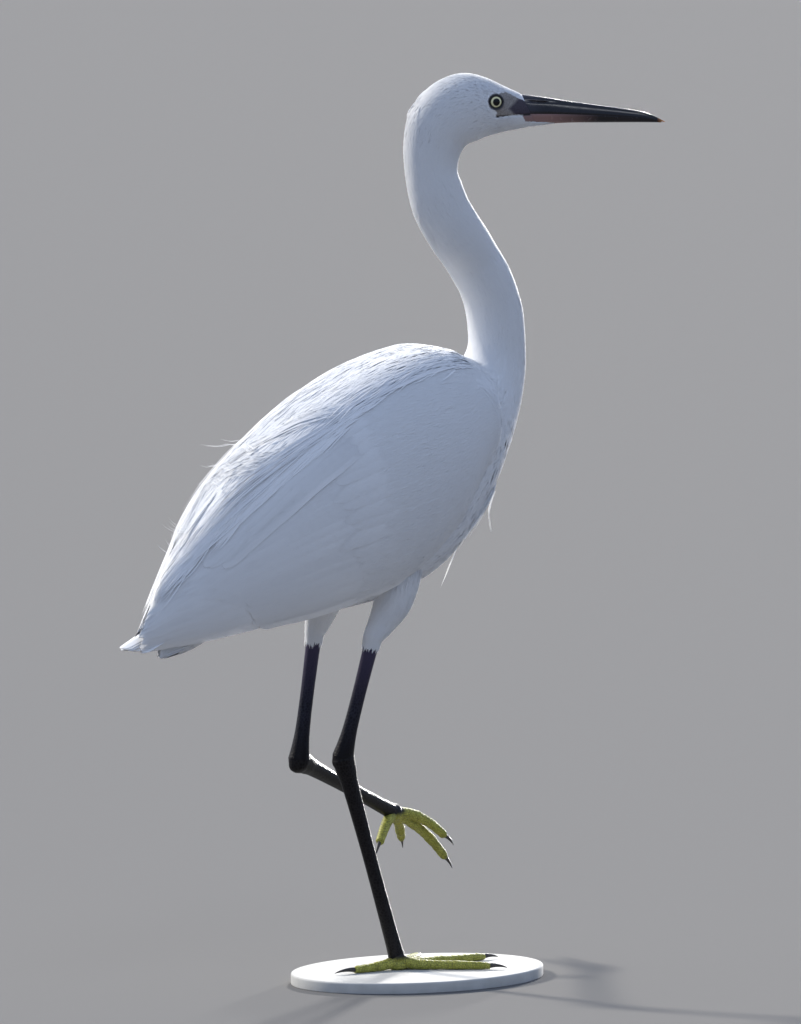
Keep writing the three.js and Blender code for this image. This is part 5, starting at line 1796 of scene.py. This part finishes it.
# %% Legs, feet and the paint of the base
def scaled_skin(name, tones, groove, roughness, cell, bump, gloss=0.16):
    material, tree, shader = new_material(name, roughness, tones[0], {"Specular IOR Level": gloss})
    cells = scale_cells(tree, cell)
    colour = mixed(tree, cells, groove, mottled(tree, 260, *tones, 4))
    if name == "foot_skin":
        colour = mixed(tree, number_of(tree, "towards_leg"), colour, (0.008, 0.007, 0.008))
    if name == "shank_skin":
        bloom = ramp(tree, number_of(tree, "from_cuff"), (0.05, (1, 1, 1)), (0.55, (0, 0, 0)))
        colour = mixed(tree, bloom, colour, (0.050, 0.040, 0.075))
        near_joint = ramp(tree, number_of(tree, "from_cuff"), (0.6, (0, 0, 0)), (0.95, (1, 1, 1)))
        colour = mixed(tree, near_joint, colour, (0.006, 0.0046, 0.0054))
    tree.links.new(colour, shader.inputs["Base Color"])
    fine = bump_from(tree, shader, cells, bump, 0.00018)
    bump_from(tree, shader, place_noise(tree, 2200), 0.15, 0.0001, fine)
    return material


tarsus_skin = scaled_skin("tarsus_skin", ((0.002, 0.0016, 0.0018), (0.008, 0.006, 0.007)),
                          (0.016, 0.014, 0.014), 0.4, 0.0017, 0.5)
shank_skin = scaled_skin("shank_skin", ((0.005, 0.005, 0.009), (0.014, 0.013, 0.024)),
                         (0.028, 0.028, 0.04), 0.45, 0.0016, 0.5)
foot_skin = scaled_skin("foot_skin", ((0.30, 0.30, 0.035), (0.52, 0.50, 0.10)),
                        (0.15, 0.14, 0.03), 0.5, 0.0012, 0.3, 0.3)

base_paint, tree, shader = new_material("base_paint", 0.72, (0.55, 0.54, 0.51))
brushed = mottled(tree, 130, (0.50, 0.49, 0.46), (0.58, 0.57, 0.54), 5)
tree.links.new(brushed, shader.inputs["Base Color"])
bump_from(tree, shader, place_noise(tree, 900, 5), 0.12, 0.0002)
print("leg finishes", tarsus_skin.name, shank_skin.name, foot_skin.name)

# %% [markdown]
# ## Which piece takes the place of which solid
# One skin takes over from all solids of flesh. The other pieces replace their own solid, and
# coats and plumes come on top. Nothing moves, so everything rides with the root.

# %% Hand the pieces over
def finish_piece(piece, material, slot, *nodes):
    piece.data.materials.clear()
    piece.data.materials.append(material)
    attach(piece, "root")
    if nodes:
        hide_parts(*nodes)


flesh_nodes = ("torso", "neck_lower", "neck_middle", "neck_upper", "head",
               "thigh_right", "thigh_left")
finish_piece(skin, skin_finish, "plumage", *flesh_nodes)
for piece in coats:
    finish_piece(piece, feather_white, "plumage")
for piece in (back_streaks, crossing_plumes, wrist_tuft, breast_plumes, stray_plumes, nape_plumes):
    finish_piece(piece, plume_finish, "plumage")
finish_piece(tail_vanes, feather_white, "plumage", "tail")
finish_piece(bill_upper, upper_horn, "bill", "bill_upper")
finish_piece(bill_lower, lower_horn, "bill", "bill_lower")
finish_piece(stand, base_paint, "base_paint", "stand_base")
for side in both:
    finish_piece(wings[side], feather_white, "plumage", "wing_" + side)
    finish_piece(shoulders[side], feather_white, "plumage")
    finish_piece(thigh_coats[side], feather_white, "plumage")
    finish_piece(eyes[side], eye_finish, "eye", "eye_" + side)
    finish_piece(shanks[side], shank_skin, "leg_skin", "shank_" + side)
    finish_piece(tarsi[side], tarsus_skin, "leg_skin", "tarsus_" + side)
    foot_points = points_of(feet[side])
    above = foot_points[:, 2] - ankles[side][2]
    near_leg = fade(np.linalg.norm(foot_points - ankles[side], axis=1), 8.5, 5.2)
    add_number(feet[side], "towards_leg", near_leg * fade(above, -3, 0.5))
    finish_piece(feet[side], foot_skin, "foot_skin", "foot_" + side)
    for toe, *_ in toe_rows:
        finish_piece(claws[side, toe], claw_horn, "claw", f"claw_{side}_{toe}")


# %% [markdown]
# ## Floor, light and camera
# A white bird needs a floor darker than itself. A warm sun from behind, on the far side,
# models the form, and two more from behind draw the light rims of crown, bill and neck. A
# pale cool sky and one weak lamp fill the near side. The long lens stands ten metres off,
# a little above the bird, so that the proportions stay true.

# %% Stage
floor_size = 60
corners = [(x * floor_size, y * floor_size, 0) for x, y in ((-1, -1), (1, -1), (1, 1), (-1, 1))]
floor_mesh = bpy.data.meshes.new("floor")
floor_mesh.from_pydata(corners, [], [(0, 1, 2, 3)])
floor = add_object("floor", floor_mesh)
floor_mesh.materials.append(new_material(
    "floor_paint", 0.95, (0.175, 0.171, 0.167), {"Specular IOR Level": 0.05})[0])

sky = bpy.data.worlds.new("sky")
sky.use_nodes = True
sky_light = sky.node_tree.nodes["Background"].inputs
sky_light["Color"].default_value = (0.50, 0.66, 1.0, 1)
sky_light["Strength"].default_value = 0.62
bpy.context.scene.world = sky
bpy.context.scene.view_settings.view_transform = "Standard"

view_azimuth, view_elevation = math.radians(-40), math.radians(6)
to_right = np.array([math.cos(view_azimuth), math.sin(view_azimuth), 0])
to_camera = np.array([
    math.sin(view_azimuth) * math.cos(view_elevation),
    -math.cos(view_azimuth) * math.cos(view_elevation),
    math.sin(view_elevation),
])
# name, where it stands: to the right, towards the camera and up; strength, width, colour
suns = [
    ["key", -0.76, -0.45, 0.62, 4.1, 5, (1.0, 0.95, 0.86)],
    ["rim", 0.15, -0.85, 0.48, 2.9, 5, (1.0, 0.97, 0.92)],
    ["edge", 0.27, -0.8, 0.12, 2.7, 3, (1.0, 0.97, 0.92)],
    ["front_fill", 0.3, 0.8, 0.9, 0.26, 14, (0.9, 0.94, 1.0)],
]
for name, right, near, height, strength, width, colour in suns:
    lamp = bpy.data.lights.new(name, "SUN")
    lamp.energy, lamp.angle, lamp.color = strength, math.radians(width), colour
    x, y, z = unit(right * to_right + near * to_camera + [0, 0, height])
    add_object(name, lamp).rotation_euler = (0, math.acos(z), math.atan2(y, x))

pixels_per_mm = 1.85
frame_height = 1024 / pixels_per_mm * MM
camera_distance = 10.0
aim = np.array([0.001, -0.001, 0.249 + rise * MM])
lens = bpy.data.cameras.new("camera")
lens.lens = lens.sensor_width * camera_distance / frame_height
lens.clip_end = 200
camera = add_object("camera", lens)
camera.location = (aim + to_camera * camera_distance).tolist()
camera.rotation_euler = (math.pi / 2 - view_elevation, 0, view_azimuth)
bpy.context.scene.camera = camera
print("lens in mm", round(lens.lens, 1))

# %% [markdown]
# Last, the view layer is updated.

# %% Update the view layer
bpy.context.view_layer.update()
